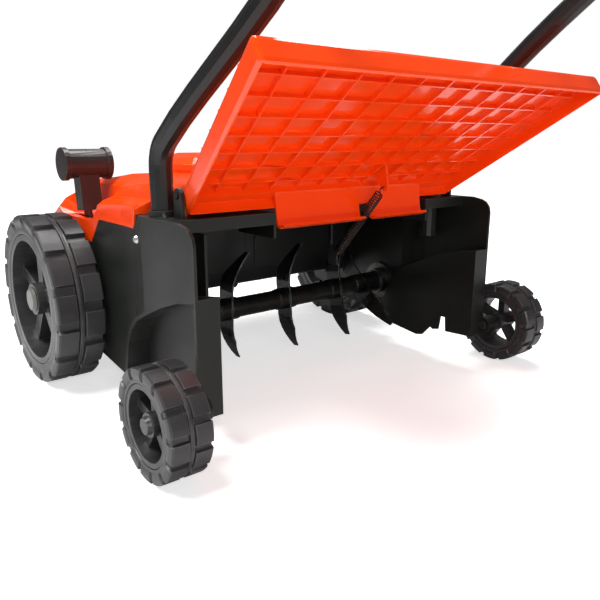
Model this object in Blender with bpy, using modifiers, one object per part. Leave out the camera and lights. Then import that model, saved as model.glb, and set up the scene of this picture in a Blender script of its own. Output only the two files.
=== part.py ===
"""Electric lawn scarifier with a raised rear flap, two-part folding handle and height lever.

Run with: blender --background --python part.py
Frame: +X is the machine's right, +Y is forward, +Z is up. Each piece is first placed with the
rear axle at Y = 0 and the ground at Z = 0. The last step slides the whole machine along Y, so
that its bounding box is centred on the origin.
"""
import math

import bmesh
import bpy
from mathutils import Matrix, Vector

MM = 0.001

# ---------------------------------------------------------------- driving dimensions
GAP = 0.3 * MM              # between faces that touch
RUN = 0.4 * MM              # radial running clearance of a turning piece
WALL = 3.0 * MM             # moulded walls of the deck
SKIN = 2.5 * MM             # moulded walls of hood and flap

WHEELBASE = 306 * MM
FRONT_RADIUS = 100 * MM
FRONT_WIDTH = 54 * MM
FRONT_OUTER = 265 * MM      # outer face of a front wheel, from the middle plane
FRONT_AXLE_R = 6 * MM
REAR_RADIUS = 51 * MM
REAR_WIDTH = 40 * MM
REAR_OUTER = 269 * MM
REAR_AXLE_R = 5 * MM
FRONT_STEPS = 40
REAR_STEPS = 32

PANEL_REAR_X = 212 * MM     # outer plane of a side panel beside the rear wheel
PANEL_FRONT_X = 206 * MM    # outer plane of a side panel behind the front wheel
ARCH_DEPTH = 25 * MM        # how far a wheel arch is set into the machine
PANEL_REAR_Y = 4 * MM
PANEL_FRONT_Y = 345 * MM
DECK_TOP = 214 * MM
BAND_LOW = 199 * MM         # lower edge of the hood's side band
BAND_DEEP = 171 * MM        # lower edge of the hood's side in front of the band

ROTOR_Y = 182 * MM
ROTOR_Z = 81 * MM
ROTOR_TIP = 71 * MM
ROTOR_SHAFT_R = 8 * MM
SLEEVE_R = 14 * MM
BLADE_PITCH = 90 * MM
BLADE_MIDDLE_X = 22 * MM
BLADE_T = 2.5 * MM
BLADE_WIDTH = 28 * MM
BLADE_BEND = 24 * MM

CHAMBER_INNER_X = -163 * MM  # tunnel side of the wall between tunnel and belt
FRONT_WALL_Y = 258 * MM
MOTOR_Y = 326 * MM
MOTOR_Z = 150 * MM
MOTOR_R = 37 * MM
MOTOR_SHAFT_R = 4 * MM
DRIVE_R = 13 * MM
DRIVEN_R = 26 * MM
BELT_X = -176 * MM
BELT_WIDTH = 11 * MM
BELT_T = 2.0 * MM

CRANK_Y = 276 * MM          # pivot of the cranked front axle
CRANK_Z = 92 * MM
CRANK_R = 6 * MM
LEVER_X = -190 * MM
KNOB_Y = 290 * MM
KNOB_Z = 257 * MM
KNOB_R = 19 * MM
KNOB_LENGTH = 56 * MM

HINGE_Y = 60 * MM
HINGE_Z = 235 * MM
HINGE_ROD_R = 3 * MM
FLAP_RAISED = math.radians(34)
FLAP_LENGTH = 202 * MM
FLAP_HALF = 189 * MM        # half width at the hinge
FLAP_FLARE = 37 * MM        # extra half width at the free edge
FLAP_TOP = 4 * MM           # top face above the hinge axis
FLAP_DEPTH = 22 * MM
LIP_DEPTH = 41 * MM
LIP_LEFT = -88 * MM
LIP_RIGHT = 131 * MM
SPRING_X = 36 * MM
SPRING_LOW_Y = 99 * MM
SPRING_LOW_Z = 146 * MM
SPRING_ARM = 32 * MM        # hook's place along the flap, from the hinge
SPRING_DROP = 22 * MM       # hook's place below the hinge axis
SPRING_R = 5.5 * MM
SPRING_WIRE_R = 0.7 * MM

TUBE_R = 11 * MM
TUBE_X = 195 * MM
TUBE_Y = 88 * MM
TUBE_FOOT_Z = 160 * MM
TUBE_BEND_Z = 258 * MM
TUBE_BEND_R = 32 * MM
HANDLE_SLOPE = math.radians(37)
TUBE_UPPER_X = 175 * MM
TUBE_JOGGLE = 200 * MM      # slope length over which the tubes draw together
LOWER_LENGTH = 440 * MM     # slope length of a lower tube above its bend
FOLD_AT = 415 * MM          # clamp bolt, as slope length above the bend
UPPER_X = TUBE_UPPER_X - 2 * TUBE_R - 1 * MM
UPPER_LENGTH = 740 * MM     # clamp bolt to crossbar
UPPER_TAIL = 24 * MM
UPPER_CORNER_R = 45 * MM
CLAMP_BOLT_R = 3 * MM
CLAMP_KNOB_R = 20 * MM
GRIP_R = 15.5 * MM
GRIP_HALF = 98 * MM
BAIL_AT = 575 * MM          # bail pivot, as length above the clamp bolt
BAIL_LENGTH = 160 * MM
BAIL_OPEN = math.radians(24)
BAIL_R = 3 * MM
SWITCH_AT = 600 * MM        # middle of the switch box, above the clamp bolt

# ---------------------------------------------------------------- worked out from them
SLOPE_DIR = Vector((0, -math.cos(HANDLE_SLOPE), math.sin(HANDLE_SLOPE)))
BEND_TURN = math.pi / 2 - HANDLE_SLOPE
BEND_END_Y = TUBE_Y - TUBE_BEND_R * (1 - math.cos(BEND_TURN))
BEND_END_Z = TUBE_BEND_Z + TUBE_BEND_R * math.sin(BEND_TURN)
HANDLE_END_Y = BEND_END_Y - (FOLD_AT + UPPER_LENGTH) * math.cos(HANDLE_SLOPE) - GRIP_R
FRONT_END_Y = WHEELBASE + FRONT_RADIUS
FRAME_SHIFT = -(HANDLE_END_Y + FRONT_END_Y) / 2

ARCH_INNER_X = PANEL_REAR_X - ARCH_DEPTH
LUG_R = 11 * MM             # lug that holds a rear stub axle
LUG_INNER_X = 206 * MM
LUG_OUTER_X = 224 * MM
LUG_X = FLAP_HALF + 1.5 * MM
HINGE_LUG_T = 4 * MM
SOCKET_R = TUBE_R + 2.5 * MM
BEARING_R = 15 * MM
BEARING_WIDTH = 9 * MM
ROTOR_LEFT_X = -187 * MM
LEFT_BEARING_X = CHAMBER_INNER_X + GAP
RIGHT_BEARING_X = PANEL_FRONT_X - WALL - 2 * GAP - 3 * MM - BEARING_WIDTH
ROTOR_RIGHT_X = RIGHT_BEARING_X + BEARING_WIDTH - GAP
SLEEVE_LEFT_X = CHAMBER_INNER_X + BEARING_WIDTH + 2 * MM + 2 * GAP
SLEEVE_RIGHT_X = RIGHT_BEARING_X - GAP - 1 * MM
TRAY_LOW = 104 * MM
TRAY_TOP = 188 * MM
TRAY_RIGHT = 184 * MM
TRAY_BACK = FRONT_WALL_Y + WALL + 3 * MM
TRAY_FRONT = 388 * MM
CRANK_INNER_X = 195 * MM
CRANK_PLATE = 5 * MM
KNOB_STEM = 54 * MM
LEVER_PLATE_LOW = -CRANK_INNER_X + GAP
LEVER_PLATE_HIGH = -CRANK_INNER_X + 4.7 * MM
VALLEY_Z = 196 * MM
LEVER_SWING = math.radians(14)
FOLD_Y = BEND_END_Y + SLOPE_DIR.y * FOLD_AT
FOLD_Z = BEND_END_Z + SLOPE_DIR.z * FOLD_AT
SWITCH_IN_X = UPPER_X + TUBE_R + GAP
SWITCH_OUT_X = SWITCH_IN_X + 42 * MM
SWITCH_HALF = 48 * MM
SWITCH_DEEP = 26 * MM
BUTTON_R = 8 * MM
BUTTON_TRAVEL = 4 * MM
FAN_X = 96 * MM

# ---------------------------------------------------------------- scene and helpers
for old in list(bpy.data.objects):
    bpy.data.objects.remove(old)

PARTS = bpy.data.collections.new("lawn_scarifier")
CUTTERS = bpy.data.collections.new("cutters")
bpy.context.scene.collection.children.link(PARTS)
bpy.context.scene.collection.children.link(CUTTERS)

# local (x, y, z) of a flat outline or a turned piece, laid on the machine's axes
FACING_X = Matrix(((0, 0, 1, 0), (1, 0, 0, 0), (0, 1, 0, 0), (0, 0, 0, 1)))
FACING_Z = Matrix.Identity(4)


def paint(name, colour, roughness, metallic=0.0):
    """A plain finish, as a Principled material."""
    made = bpy.data.materials.new(name)
    made.use_nodes = True
    shader = made.node_tree.nodes["Principled BSDF"]
    shader.inputs["Base Color"].default_value = (*colour, 1.0)
    shader.inputs["Roughness"].default_value = roughness
    shader.inputs["Metallic"].default_value = metallic
    made.diffuse_color = (*colour, 1.0)
    return made


FINISHES = {
    "orange": ((0.9, 0.13, 0.01), 0.3, 0.0),
    "deck": ((0.018, 0.02, 0.016), 0.45, 0.0),
    "wheel": ((0.05, 0.047, 0.05), 0.55, 0.0),
    "knob": ((0.022, 0.016, 0.016), 0.5, 0.0),
    "tube": ((0.02, 0.02, 0.019), 0.35, 0.3),
    "blade": ((0.03, 0.032, 0.03), 0.35, 0.8),
    "steel": ((0.6, 0.6, 0.58), 0.25, 1.0),
    "spring": ((0.06, 0.05, 0.045), 0.3, 0.9),
    "rubber": ((0.02, 0.02, 0.02), 0.8, 0.0),
    "motor": ((0.25, 0.26, 0.27), 0.4, 0.7),
}


def finish(obj, slot):
    """Puts an object in the machine's collection, with a finish of its own."""
    colour, roughness, metallic = FINISHES[slot]
    obj.data.materials.clear()
    obj.data.materials.append(paint(obj.name + "_finish", colour, roughness, metallic))
    return obj


def place(name, mesh, slot, matrix=FACING_Z):
    """An object made from a mesh, in the machine's collection."""
    obj = bpy.data.objects.new(name, mesh)
    obj.matrix_world = matrix
    PARTS.objects.link(obj)
    return finish(obj, slot)


def box(name, low, high, slot):
    """A block between two corners."""
    shape = bmesh.new()
    bmesh.ops.create_cube(shape, size=1.0)
    size = Vector(high) - Vector(low)
    middle = (Vector(high) + Vector(low)) / 2
    bmesh.ops.transform(shape, matrix=Matrix.Translation(middle) @ Matrix.Diagonal((*size, 1)), verts=shape.verts)
    mesh = bpy.data.meshes.new(name)
    shape.to_mesh(mesh)
    shape.free()
    return place(name, mesh, slot)


def rod(name, start, end, radius, slot, steps=16, end_radius=None):
    """A round bar, or a cone where the end radius differs, from one point to another."""
    start, end = Vector(start), Vector(end)
    along = end - start
    shape = bmesh.new()
    bmesh.ops.create_cone(shape, cap_ends=True, segments=steps, radius1=radius,
                          radius2=radius if end_radius is None else end_radius, depth=along.length)
    turn = along.to_track_quat("Z", "Y").to_matrix().to_4x4()
    bmesh.ops.transform(shape, matrix=Matrix.Translation((start + end) / 2) @ turn, verts=shape.verts)
    mesh = bpy.data.meshes.new(name)
    shape.to_mesh(mesh)
    shape.free()
    return place(name, mesh, slot)


def turned(name, profile, centre, slot, steps, side=1, flat_down=False):
    """A ring turned about an axis along X from a closed (radius, x) profile.

    The profile's outer side runs from high x to low x. With side -1 the piece is mirrored, so
    that x grows towards the machine's left. With flat_down a flat facet faces the ground.
    """
    mesh = bpy.data.meshes.new(name)
    count = len(profile)
    mesh.from_pydata([(r, 0, x) for r, x in profile], [(i, (i + 1) % count) for i in range(count)], [])
    obj = place(name, mesh, slot)
    spin = obj.modifiers.new("turn", "SCREW")
    spin.steps = steps
    spin.render_steps = steps
    spin.use_merge_vertices = True
    spin.merge_threshold = 0.00001
    half_step = math.pi / steps if flat_down else 0.0
    facing = Matrix.Rotation(side * math.pi / 2, 4, "Y")
    obj.matrix_world = Matrix.Translation(centre) @ facing @ Matrix.Rotation(half_step, 4, "Z")
    return obj


def to_mesh(curve_obj, slot):
    """The same object as a closed mesh, with its caps welded."""
    bpy.context.view_layer.update()
    graph = bpy.context.evaluated_depsgraph_get()
    mesh = bpy.data.meshes.new_from_object(curve_obj.evaluated_get(graph))
    shape = bmesh.new()
    shape.from_mesh(mesh)
    bmesh.ops.remove_doubles(shape, verts=shape.verts, dist=0.000001)
    bmesh.ops.recalc_face_normals(shape, faces=shape.faces)
    shape.to_mesh(mesh)
    shape.free()
    name, matrix = curve_obj.name, curve_obj.matrix_world.copy()
    bpy.data.objects.remove(curve_obj)
    return place(name, mesh, slot, matrix)


def plate(name, outlines, low, high, slot, facing=FACING_X):
    """A flat piece: outlines in its plane, later ones being holes, between two depths."""
    data = bpy.data.curves.new(name, "CURVE")
    data.dimensions = "2D"
    data.fill_mode = "BOTH"
    data.extrude = (high - low) / 2
    for outline in outlines:
        spline = data.splines.new("POLY")
        spline.points.add(len(outline) - 1)
        for point, (u, v) in zip(spline.points, outline):
            point.co = (u, v, 0, 1)
        spline.use_cyclic_u = True
    obj = bpy.data.objects.new(name, data)
    PARTS.objects.link(obj)
    obj.matrix_world = facing @ Matrix.Translation((0, 0, (low + high) / 2))
    return to_mesh(obj, slot)


def tube(name, points, radius, slot, resolution=3, closed=False):
    """A round bar bent along points."""
    data = bpy.data.curves.new(name, "CURVE")
    data.dimensions = "3D"
    data.bevel_depth = radius
    data.bevel_resolution = resolution
    data.use_fill_caps = not closed
    spline = data.splines.new("POLY")
    spline.points.add(len(points) - 1)
    for point, co in zip(spline.points, points):
        point.co = (*co, 1)
    spline.use_cyclic_u = closed
    obj = bpy.data.objects.new(name, data)
    PARTS.objects.link(obj)
    return to_mesh(obj, slot)


def retire(obj):
    """Takes a cutting or joined shape out of the machine's own pieces."""
    PARTS.objects.unlink(obj)
    CUTTERS.objects.link(obj)
    obj.hide_render = True
    obj.display_type = "WIRE"


def combine(target, other, how):
    """Joins ("UNION"), cuts ("DIFFERENCE") or keeps the common part ("INTERSECT")."""
    step = target.modifiers.new(other.name, "BOOLEAN")
    step.operation = how
    step.solver = "EXACT"
    step.object = other
    retire(other)
    return target


def cut(target, other):
    return combine(target, other, "DIFFERENCE")


def join(target, other):
    return combine(target, other, "UNION")


def soften(obj, width, angle=35, segments=1):
    """Bevels the sharp edges of a piece."""
    edge = obj.modifiers.new("edges", "BEVEL")
    edge.width = width
    edge.segments = segments
    edge.limit_method = "ANGLE"
    edge.angle_limit = math.radians(angle)
    return obj


def arc(centre, radius, start, end, count):
    """Points along an arc in a plane, with angles in degrees."""
    turns = [math.radians(start + (end - start) * i / (count - 1)) for i in range(count)]
    return [(centre[0] + radius * math.cos(t), centre[1] + radius * math.sin(t)) for t in turns]


def pivot(name, position, turn=0.0, parent=None):
    """An empty on a joint's axis."""
    obj = bpy.data.objects.new(name, None)
    obj.empty_display_size = 0.02
    PARTS.objects.link(obj)
    obj.parent = parent
    obj.location = position
    obj.rotation_euler = (turn, 0, 0)
    return obj


def hang(parent, objects):
    """Pieces modelled about a pivot's own origin, with everything that cuts or joins them."""
    for obj in objects:
        tools = [step.object for step in obj.modifiers if step.type == "BOOLEAN"]
        obj.parent = parent
        hang(parent, tools)


def carry(parent, objects):
    """Pieces modelled in the machine's frame, which then follow a pivot."""
    bpy.context.view_layer.update()
    back = parent.matrix_world.inverted()
    for obj in objects:
        tools = [step.object for step in obj.modifiers if step.type == "BOOLEAN"]
        obj.parent = parent
        obj.matrix_parent_inverse = back
        carry(parent, tools)


# ---------------------------------------------------------------- wheels
def wheel(side, end, centre, radius, width, rim_depth, hub_r, axle_r, steps, body, loose_cap):
    """Tyre, spoked rim and hub cap of one wheel, with x growing towards the outer face."""
    label = f"{end}_wheel_{body}"
    half = width / 2
    chamfer = width * 0.09
    facet = 1 / math.cos(math.pi / steps)
    tread = radius * facet
    inner = radius - rim_depth
    tyre_profile = [(tread - chamfer, half), (tread, half - chamfer), (tread, chamfer - half),
                    (tread - chamfer, -half), (inner, -half), (inner, half)]
    tyre = turned(label + "_tyre", tyre_profile, centre, "wheel", steps, side, True)
    ring_outer = inner * math.cos(math.pi / steps) - GAP
    ring_wall = rim_depth * 0.32
    ring_half = half - 2 * MM
    ring_profile = [(ring_outer, ring_half), (ring_outer, -ring_half),
                    (ring_outer - ring_wall, -ring_half), (ring_outer - ring_wall, ring_half)]
    rim = turned(label + "_rim", ring_profile, centre, "wheel", steps, side, True)
    x_mid = centre[0]
    hub_half = half - 5 * MM
    hub = rod(label + "_hub", (x_mid - hub_half, *centre[1:]), (x_mid + hub_half, *centre[1:]), hub_r, "wheel", 20)
    join(rim, hub)
    spoke_mid = side * (half - hub_half) * 0.6
    for i in range(5):
        turn = Matrix.Translation(centre) @ Matrix.Rotation(math.radians(90 + 72 * i), 4, "X")
        spoke = box(f"{label}_spoke_{i}", (-half * 0.3 + spoke_mid, hub_r * 0.5, -hub_r * 0.42),
                    (half * 0.3 + spoke_mid, ring_outer - ring_wall * 0.5, hub_r * 0.42), "wheel")
        spoke.matrix_world = turn
        join(rim, spoke)
    bore = rod(label + "_bore", (x_mid - width, *centre[1:]), (x_mid + width, *centre[1:]), axle_r + RUN, "wheel", 20)
    cut(rim, bore)
    cap_inner = x_mid + side * (hub_half + (GAP if loose_cap else -1 * MM))
    cap_outer = x_mid + side * (hub_half + 4 * MM)
    cap = rod(label + "_cap", (cap_inner, *centre[1:]), (cap_outer, *centre[1:]), hub_r * 0.8, "knob", 20,
              hub_r * 0.65)
    if loose_cap:
        return [tyre, rim, cap]
    return [tyre, join(rim, cap)]


def front_wheel(side, body):
    centre = (side * (FRONT_OUTER - FRONT_WIDTH / 2), WHEELBASE, FRONT_RADIUS)
    pieces = wheel(side, "front", centre, FRONT_RADIUS, FRONT_WIDTH, 22 * MM, 19 * MM, FRONT_AXLE_R, FRONT_STEPS, body,
                   True)
    return centre, pieces


def rear_wheel(side, body):
    centre = (side * (REAR_OUTER - REAR_WIDTH / 2), 0, REAR_RADIUS)
    pieces = wheel(side, "rear", centre, REAR_RADIUS, REAR_WIDTH, 14 * MM, 11 * MM, REAR_AXLE_R, REAR_STEPS, body,
                   False)
    return centre, pieces


# ---------------------------------------------------------------- side panels


def panel_outline():
    """Side view of a panel: bottom with its slot and tip, front, and top under the hood."""
    return [(PANEL_REAR_Y, 38 * MM), (44 * MM, 36 * MM), (46 * MM, 55 * MM), (54 * MM, 55 * MM),
            (57 * MM, 36 * MM), (66 * MM, 34 * MM), (70 * MM, 37 * MM), (84 * MM, 22 * MM), (94 * MM, 20 * MM),
            (262 * MM, 42 * MM), (330 * MM, 62 * MM), (PANEL_FRONT_Y, 90 * MM),
            (PANEL_FRONT_Y, BAND_DEEP - 2 * GAP), (246 * MM, BAND_DEEP - 2 * GAP), (221 * MM, BAND_LOW - 2 * GAP),
            (128 * MM, BAND_LOW - 2 * GAP), (111 * MM, DECK_TOP), (30 * MM, DECK_TOP),
            *arc((PANEL_REAR_Y + 16 * MM, DECK_TOP - 18 * MM), 16 * MM, 100, 180, 4)]


ARCH_CURVE = [(PANEL_REAR_Y, 150 * MM), (40 * MM, 144 * MM), (70 * MM, 134 * MM), (101 * MM, 121 * MM),
              (126 * MM, 109 * MM), (143 * MM, 95 * MM), (153 * MM, 78 * MM), (160 * MM, 52 * MM)]


def side_panel(side, label):
    """Moulded side panel: upright wall, set-in wheel arch with its ridge, and axle hole."""
    plan = [(PANEL_REAR_Y - 5 * MM, PANEL_REAR_X), (105 * MM, PANEL_REAR_X), (140 * MM, PANEL_FRONT_X),
            (PANEL_FRONT_Y + 5 * MM, PANEL_FRONT_X)]
    inner = [(y, x - WALL) for y, x in reversed(plan)]
    flat = [(side * x, y) for y, x in plan + inner]
    panel = plate(label, [flat], 0, DECK_TOP + 10 * MM, "deck", FACING_Z)
    profile = plate(label + "_outline", [panel_outline()], -0.3, 0.3, "deck")
    combine(panel, profile, "INTERSECT")
    arch_low = [(166 * MM, 29.4 * MM), (94 * MM, 20 * MM), (84 * MM, 22 * MM), (70 * MM, 37 * MM),
                (66 * MM, 34 * MM), (57 * MM, 36 * MM), (54 * MM, 55 * MM), (46 * MM, 55 * MM),
                (44 * MM, 36 * MM), (PANEL_REAR_Y, 38 * MM)]
    depths = sorted((side * ARCH_INNER_X, side * PANEL_REAR_X))
    join(panel, plate(label + "_arch", [ARCH_CURVE + arch_low], *depths, "deck"))
    ridge = 3.5 * MM
    hollow = [(PANEL_REAR_Y + ridge, ARCH_CURVE[0][1] - ridge)]
    hollow += [(y - ridge * 0.4, z - ridge) for y, z in ARCH_CURVE[1:5]]
    hollow += [(y - ridge, z - ridge * 0.6) for y, z in ARCH_CURVE[5:]]
    hollow += [(164 * MM - ridge, 10 * MM), (PANEL_REAR_Y + ridge, 10 * MM)]
    depths = sorted((side * (ARCH_INNER_X + WALL), side * (PANEL_REAR_X + 1 * MM)))
    cut(panel, plate(label + "_hollow", [hollow], *depths, "deck"))
    slot = 9 * MM
    swing = 11 * MM
    front = arc((WHEELBASE, FRONT_RADIUS + swing), slot, 0, 180, 6)
    back = arc((WHEELBASE, FRONT_RADIUS - swing), slot, 180, 360, 6)
    depths = sorted((side * (PANEL_FRONT_X - 9 * MM), side * (PANEL_FRONT_X + 5 * MM)))
    cut(panel, plate(label + "_axle_slot", [front + back], *depths, "deck"))
    lug_in, lug_out = side * LUG_INNER_X, side * LUG_OUTER_X
    join(panel, rod(label + "_lug", (lug_in, 0, REAR_RADIUS), (lug_out, 0, REAR_RADIUS), LUG_R, "deck", 20))
    far = side * 2 * MM
    hole_r = REAR_AXLE_R + GAP
    cut(panel, rod(label + "_lug_hole", (lug_in - far, 0, REAR_RADIUS), (lug_out + far, 0, REAR_RADIUS), hole_r, "deck"))
    return panel


# ---------------------------------------------------------------- tunnel
def tunnel_roof():
    """Deck plate over the rotor, notched for the flap's lip, with hinge lugs and tube sockets."""
    rear_y, step_y, slim_y = 45 * MM, 105 * MM, 140 * MM
    wide = PANEL_REAR_X - WALL - GAP
    slim = PANEL_FRONT_X - WALL - GAP
    notch_y = HINGE_Y + LIP_DEPTH + 5 * MM
    left, right = LIP_LEFT - 5 * MM, LIP_RIGHT + 5 * MM
    outline = [(-wide, rear_y), (left, rear_y), (left, notch_y), (right, notch_y), (right, rear_y), (wide, rear_y),
               (wide, step_y), (slim, slim_y), (slim, 215 * MM), (160 * MM, 222 * MM),
               (160 * MM, FRONT_WALL_Y + WALL), (-160 * MM, FRONT_WALL_Y + WALL), (-160 * MM, 222 * MM),
               (-slim, 215 * MM), (-slim, slim_y), (-wide, step_y)]
    roof = plate("tunnel_roof", [outline], DECK_TOP - WALL, DECK_TOP, "deck", FACING_Z)
    low = DECK_TOP - 12 * MM
    beam_y = rear_y + 8 * MM
    sink = DECK_TOP - WALL / 2
    join(roof, box("rear_beam_left", (-wide, rear_y, low), (left, beam_y, sink), "deck"))
    join(roof, box("rear_beam_right", (right, rear_y, low), (wide, beam_y, sink), "deck"))
    flange_low = DECK_TOP - 26 * MM
    join(roof, box("notch_flange_left", (left - WALL, rear_y, flange_low), (left, notch_y + WALL, sink), "deck"))
    join(roof, box("notch_flange_right", (right, rear_y, flange_low), (right + WALL, notch_y + WALL, sink), "deck"))
    join(roof, box("notch_flange_front", (left - WALL, notch_y, flange_low + 8 * MM),
                   (right + WALL, notch_y + WALL, sink), "deck"))
    for side, label in ((-1, "left"), (1, "right")):
        x_low, x_high = sorted((side * LUG_X, side * (LUG_X + HINGE_LUG_T)))
        lug = [(HINGE_Y - 7 * MM, DECK_TOP - 2 * MM), (HINGE_Y + 7 * MM, DECK_TOP - 2 * MM),
               *arc((HINGE_Y, HINGE_Z), 7 * MM, 0, 180, 7)]
        join(roof, plate(f"hinge_lug_{label}", [lug], x_low, x_high, "deck"))
        socket = (side * TUBE_X, TUBE_Y)
        join(roof, rod(f"tube_socket_{label}", (*socket, DECK_TOP - 12 * MM), (*socket, DECK_TOP + 6 * MM),
                       SOCKET_R, "deck", 24))
        cut(roof, rod(f"tube_hole_{label}", (*socket, DECK_TOP - 20 * MM), (*socket, DECK_TOP + 20 * MM),
                      TUBE_R + GAP, "deck", 24))
    span = PANEL_REAR_X
    cut(roof, rod("hinge_rod_holes", (-span, HINGE_Y, HINGE_Z), (span, HINGE_Y, HINGE_Z), HINGE_ROD_R + GAP, "deck"))
    return roof


def belt_wall():
    """Inner wall between the tunnel and the belt, with the left bearing's seat."""
    x_high = CHAMBER_INNER_X
    x_low = x_high - WALL
    top = DECK_TOP - WALL - GAP
    outline = [(63 * MM, 62 * MM), (80 * MM, 45 * MM), (FRONT_WALL_Y + WALL, 58 * MM), (FRONT_WALL_Y + WALL, top),
               (112 * MM, top), (112 * MM, top - 14 * MM), (63 * MM, top - 14 * MM)]
    wall = plate("belt_wall", [outline], x_low, x_high, "deck")
    seat_end = x_high + BEARING_WIDTH + 2 * MM
    axis = (ROTOR_Y, ROTOR_Z)
    join(wall, rod("belt_wall_seat", (x_high - WALL / 2, *axis), (seat_end, *axis), BEARING_R + 3.5 * MM, "deck", 28))
    cut(wall, rod("belt_wall_bore", (x_high, *axis), (seat_end + 1 * MM, *axis), BEARING_R + GAP, "deck", 28))
    cut(wall, rod("belt_wall_hole", (x_low - 1 * MM, *axis), (x_high + 1 * MM, *axis), ROTOR_SHAFT_R + 2 * MM, "deck", 20))
    return wall


def tunnel_front_wall():
    """Front wall of the tunnel, with two raised panels and a gap below it."""
    low_x, high_x = CHAMBER_INNER_X + GAP, PANEL_FRONT_X - WALL - GAP
    low, top = 92 * MM, DECK_TOP - WALL - GAP
    back = FRONT_WALL_Y
    wall = box("tunnel_front_wall", (low_x, back, low), (high_x, back + WALL, top), "deck")
    cut(wall, box("valley_clearance", (160 * MM, back - 0.01, 188 * MM), (high_x + 0.01, back + 0.01, top + 0.01), "deck"))
    middle = (low_x + high_x) / 2
    for i, (x_low, x_high) in enumerate(((low_x + 14 * MM, middle - 8 * MM), (middle + 8 * MM, high_x - 22 * MM))):
        join(wall, box(f"raised_panel_{i}", (x_low, back - 2.5 * MM, low + 18 * MM),
                       (x_high, back + 1 * MM, top - 20 * MM), "deck"))
    return wall


def bearing_carrier():
    """Pressed steel carrier of the right bearing, held on the inside of the right panel."""
    outer_x = PANEL_FRONT_X - WALL - GAP
    inner_x = outer_x - 3 * MM
    seat_x = inner_x - BEARING_WIDTH
    axis = (ROTOR_Y, ROTOR_Z)
    carrier = rod("bearing_carrier", (inner_x, *axis), (outer_x, *axis), 26 * MM, "steel", 32)
    join(carrier, rod("carrier_seat", (seat_x, *axis), (inner_x + 1 * MM, *axis), BEARING_R + 3 * MM, "steel", 28))
    cut(carrier, rod("carrier_bore", (seat_x - 1 * MM, *axis), (inner_x, *axis), BEARING_R + GAP, "steel", 28))
    return carrier


# ---------------------------------------------------------------- rotor
def bearing(name, x_low):
    """Sealed ball bearing, as one ring."""
    bore = ROTOR_SHAFT_R + GAP
    half = BEARING_WIDTH / 2 - GAP
    profile = [(BEARING_R - 1 * MM, half), (BEARING_R, half - 1 * MM), (BEARING_R, 1 * MM - half),
               (BEARING_R - 1 * MM, -half), (bore, -half), (bore, half)]
    return turned(name, profile, (x_low + BEARING_WIDTH / 2, ROTOR_Y, ROTOR_Z), "steel", 24)


def blade_places():
    """Blade positions along the shaft, all within the sleeves."""
    first = BLADE_MIDDLE_X - 2 * BLADE_PITCH
    places = [first + i * BLADE_PITCH for i in range(5)]
    low, high = SLEEVE_LEFT_X + 16 * MM, SLEEVE_RIGHT_X - BLADE_BEND - 6 * MM
    return [min(max(x, low), high) for x in places]


def blade(name, x_mid, turn):
    """Two-armed knife: a flat bar through the shaft, both ends bent to the right and pointed."""
    half = BLADE_WIDTH / 2
    straight = SLEEVE_R + 10 * MM
    rise = ROTOR_TIP - straight
    steps = 5
    spine = [(0.0, 0.0)] + [(straight + rise * i / steps, BLADE_BEND * (i / steps) ** 1.7) for i in range(steps + 1)]
    upper = [(x, r) for r, x in spine]
    lower = [(x, -r) for r, x in reversed(spine[1:])]
    centre = lower + upper
    face = [(x - BLADE_T / 2, z) for x, z in centre]
    back = [(x + BLADE_T / 2, z) for x, z in reversed(centre)]
    facing = Matrix.Rotation(math.pi / 2, 4, "X")
    knife = plate(name, [face + back], -half, half, "blade", facing)
    tip = ROTOR_TIP
    side_view = [(-half - 1 * MM, -tip * 0.55), (half * 0.55, -tip * 1.02), (half + 1 * MM, -tip * 1.02),
                 (half + 1 * MM, tip * 0.55), (-half * 0.55, tip * 1.02), (-half - 1 * MM, tip * 1.02)]
    combine(knife, plate(name + "_points", [side_view], -0.1, 0.1, "blade"), "INTERSECT")
    bore = ROTOR_SHAFT_R + GAP
    cut(knife, rod(name + "_bore", (-0.1, 0, 0), (0.1, 0, 0), bore, "blade", 20))
    matrix = Matrix.Translation((x_mid, ROTOR_Y, ROTOR_Z)) @ Matrix.Rotation(turn, 4, "X")
    for obj in [knife] + [step.object for step in knife.modifiers]:
        obj.matrix_world = matrix @ obj.matrix_world
    return knife


def sleeve(name, x_low, x_high):
    """Spacer sleeve between two knives, stepped up to a collar at each end."""
    bore = ROTOR_SHAFT_R + GAP
    half = (x_high - x_low) / 2
    collar = min(12 * MM, half * 0.6)
    body = SLEEVE_R - 1.5 * MM
    profile = [(SLEEVE_R, half), (SLEEVE_R, half - collar), (body, half - collar - 1 * MM),
               (body, collar + 1 * MM - half), (SLEEVE_R, collar - half), (SLEEVE_R, -half), (bore, -half), (bore, half)]
    return turned(name, profile, ((x_low + x_high) / 2, ROTOR_Y, ROTOR_Z), "blade", 20)


def pulley(name, x_mid, y, z, radius, bore):
    """Flanged belt pulley."""
    half = BELT_WIDTH / 2 + 0.8 * MM
    flange = 1.6 * MM
    lip = radius + 3.5 * MM
    profile = [(lip, half + flange), (lip, half), (radius, half), (radius, -half), (lip, -half), (lip, -half - flange),
               (bore, -half - flange), (bore, half + flange)]
    return turned(name, profile, (x_mid, y, z), "steel", 28)


def belt_path(offset):
    """Outline round both pulleys, offset outwards from their working faces."""
    run = Vector((MOTOR_Y - ROTOR_Y, MOTOR_Z - ROTOR_Z))
    along = math.degrees(math.atan2(run.y, run.x))
    lean = math.degrees(math.acos((DRIVEN_R - DRIVE_R) / run.length))
    near = arc((ROTOR_Y, ROTOR_Z), DRIVEN_R + offset, along + lean, along + 360 - lean, 18)
    far = arc((MOTOR_Y, MOTOR_Z), DRIVE_R + offset, along - lean, along + lean, 10)
    return near + far


def drive_belt():
    """Flat-backed drive belt round both pulleys."""
    slack = 1.0 * MM
    half = BELT_WIDTH / 2
    return plate("drive_belt", [belt_path(slack + BELT_T), belt_path(slack)], BELT_X - half, BELT_X + half, "rubber")


# ---------------------------------------------------------------- motor and tray


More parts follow.
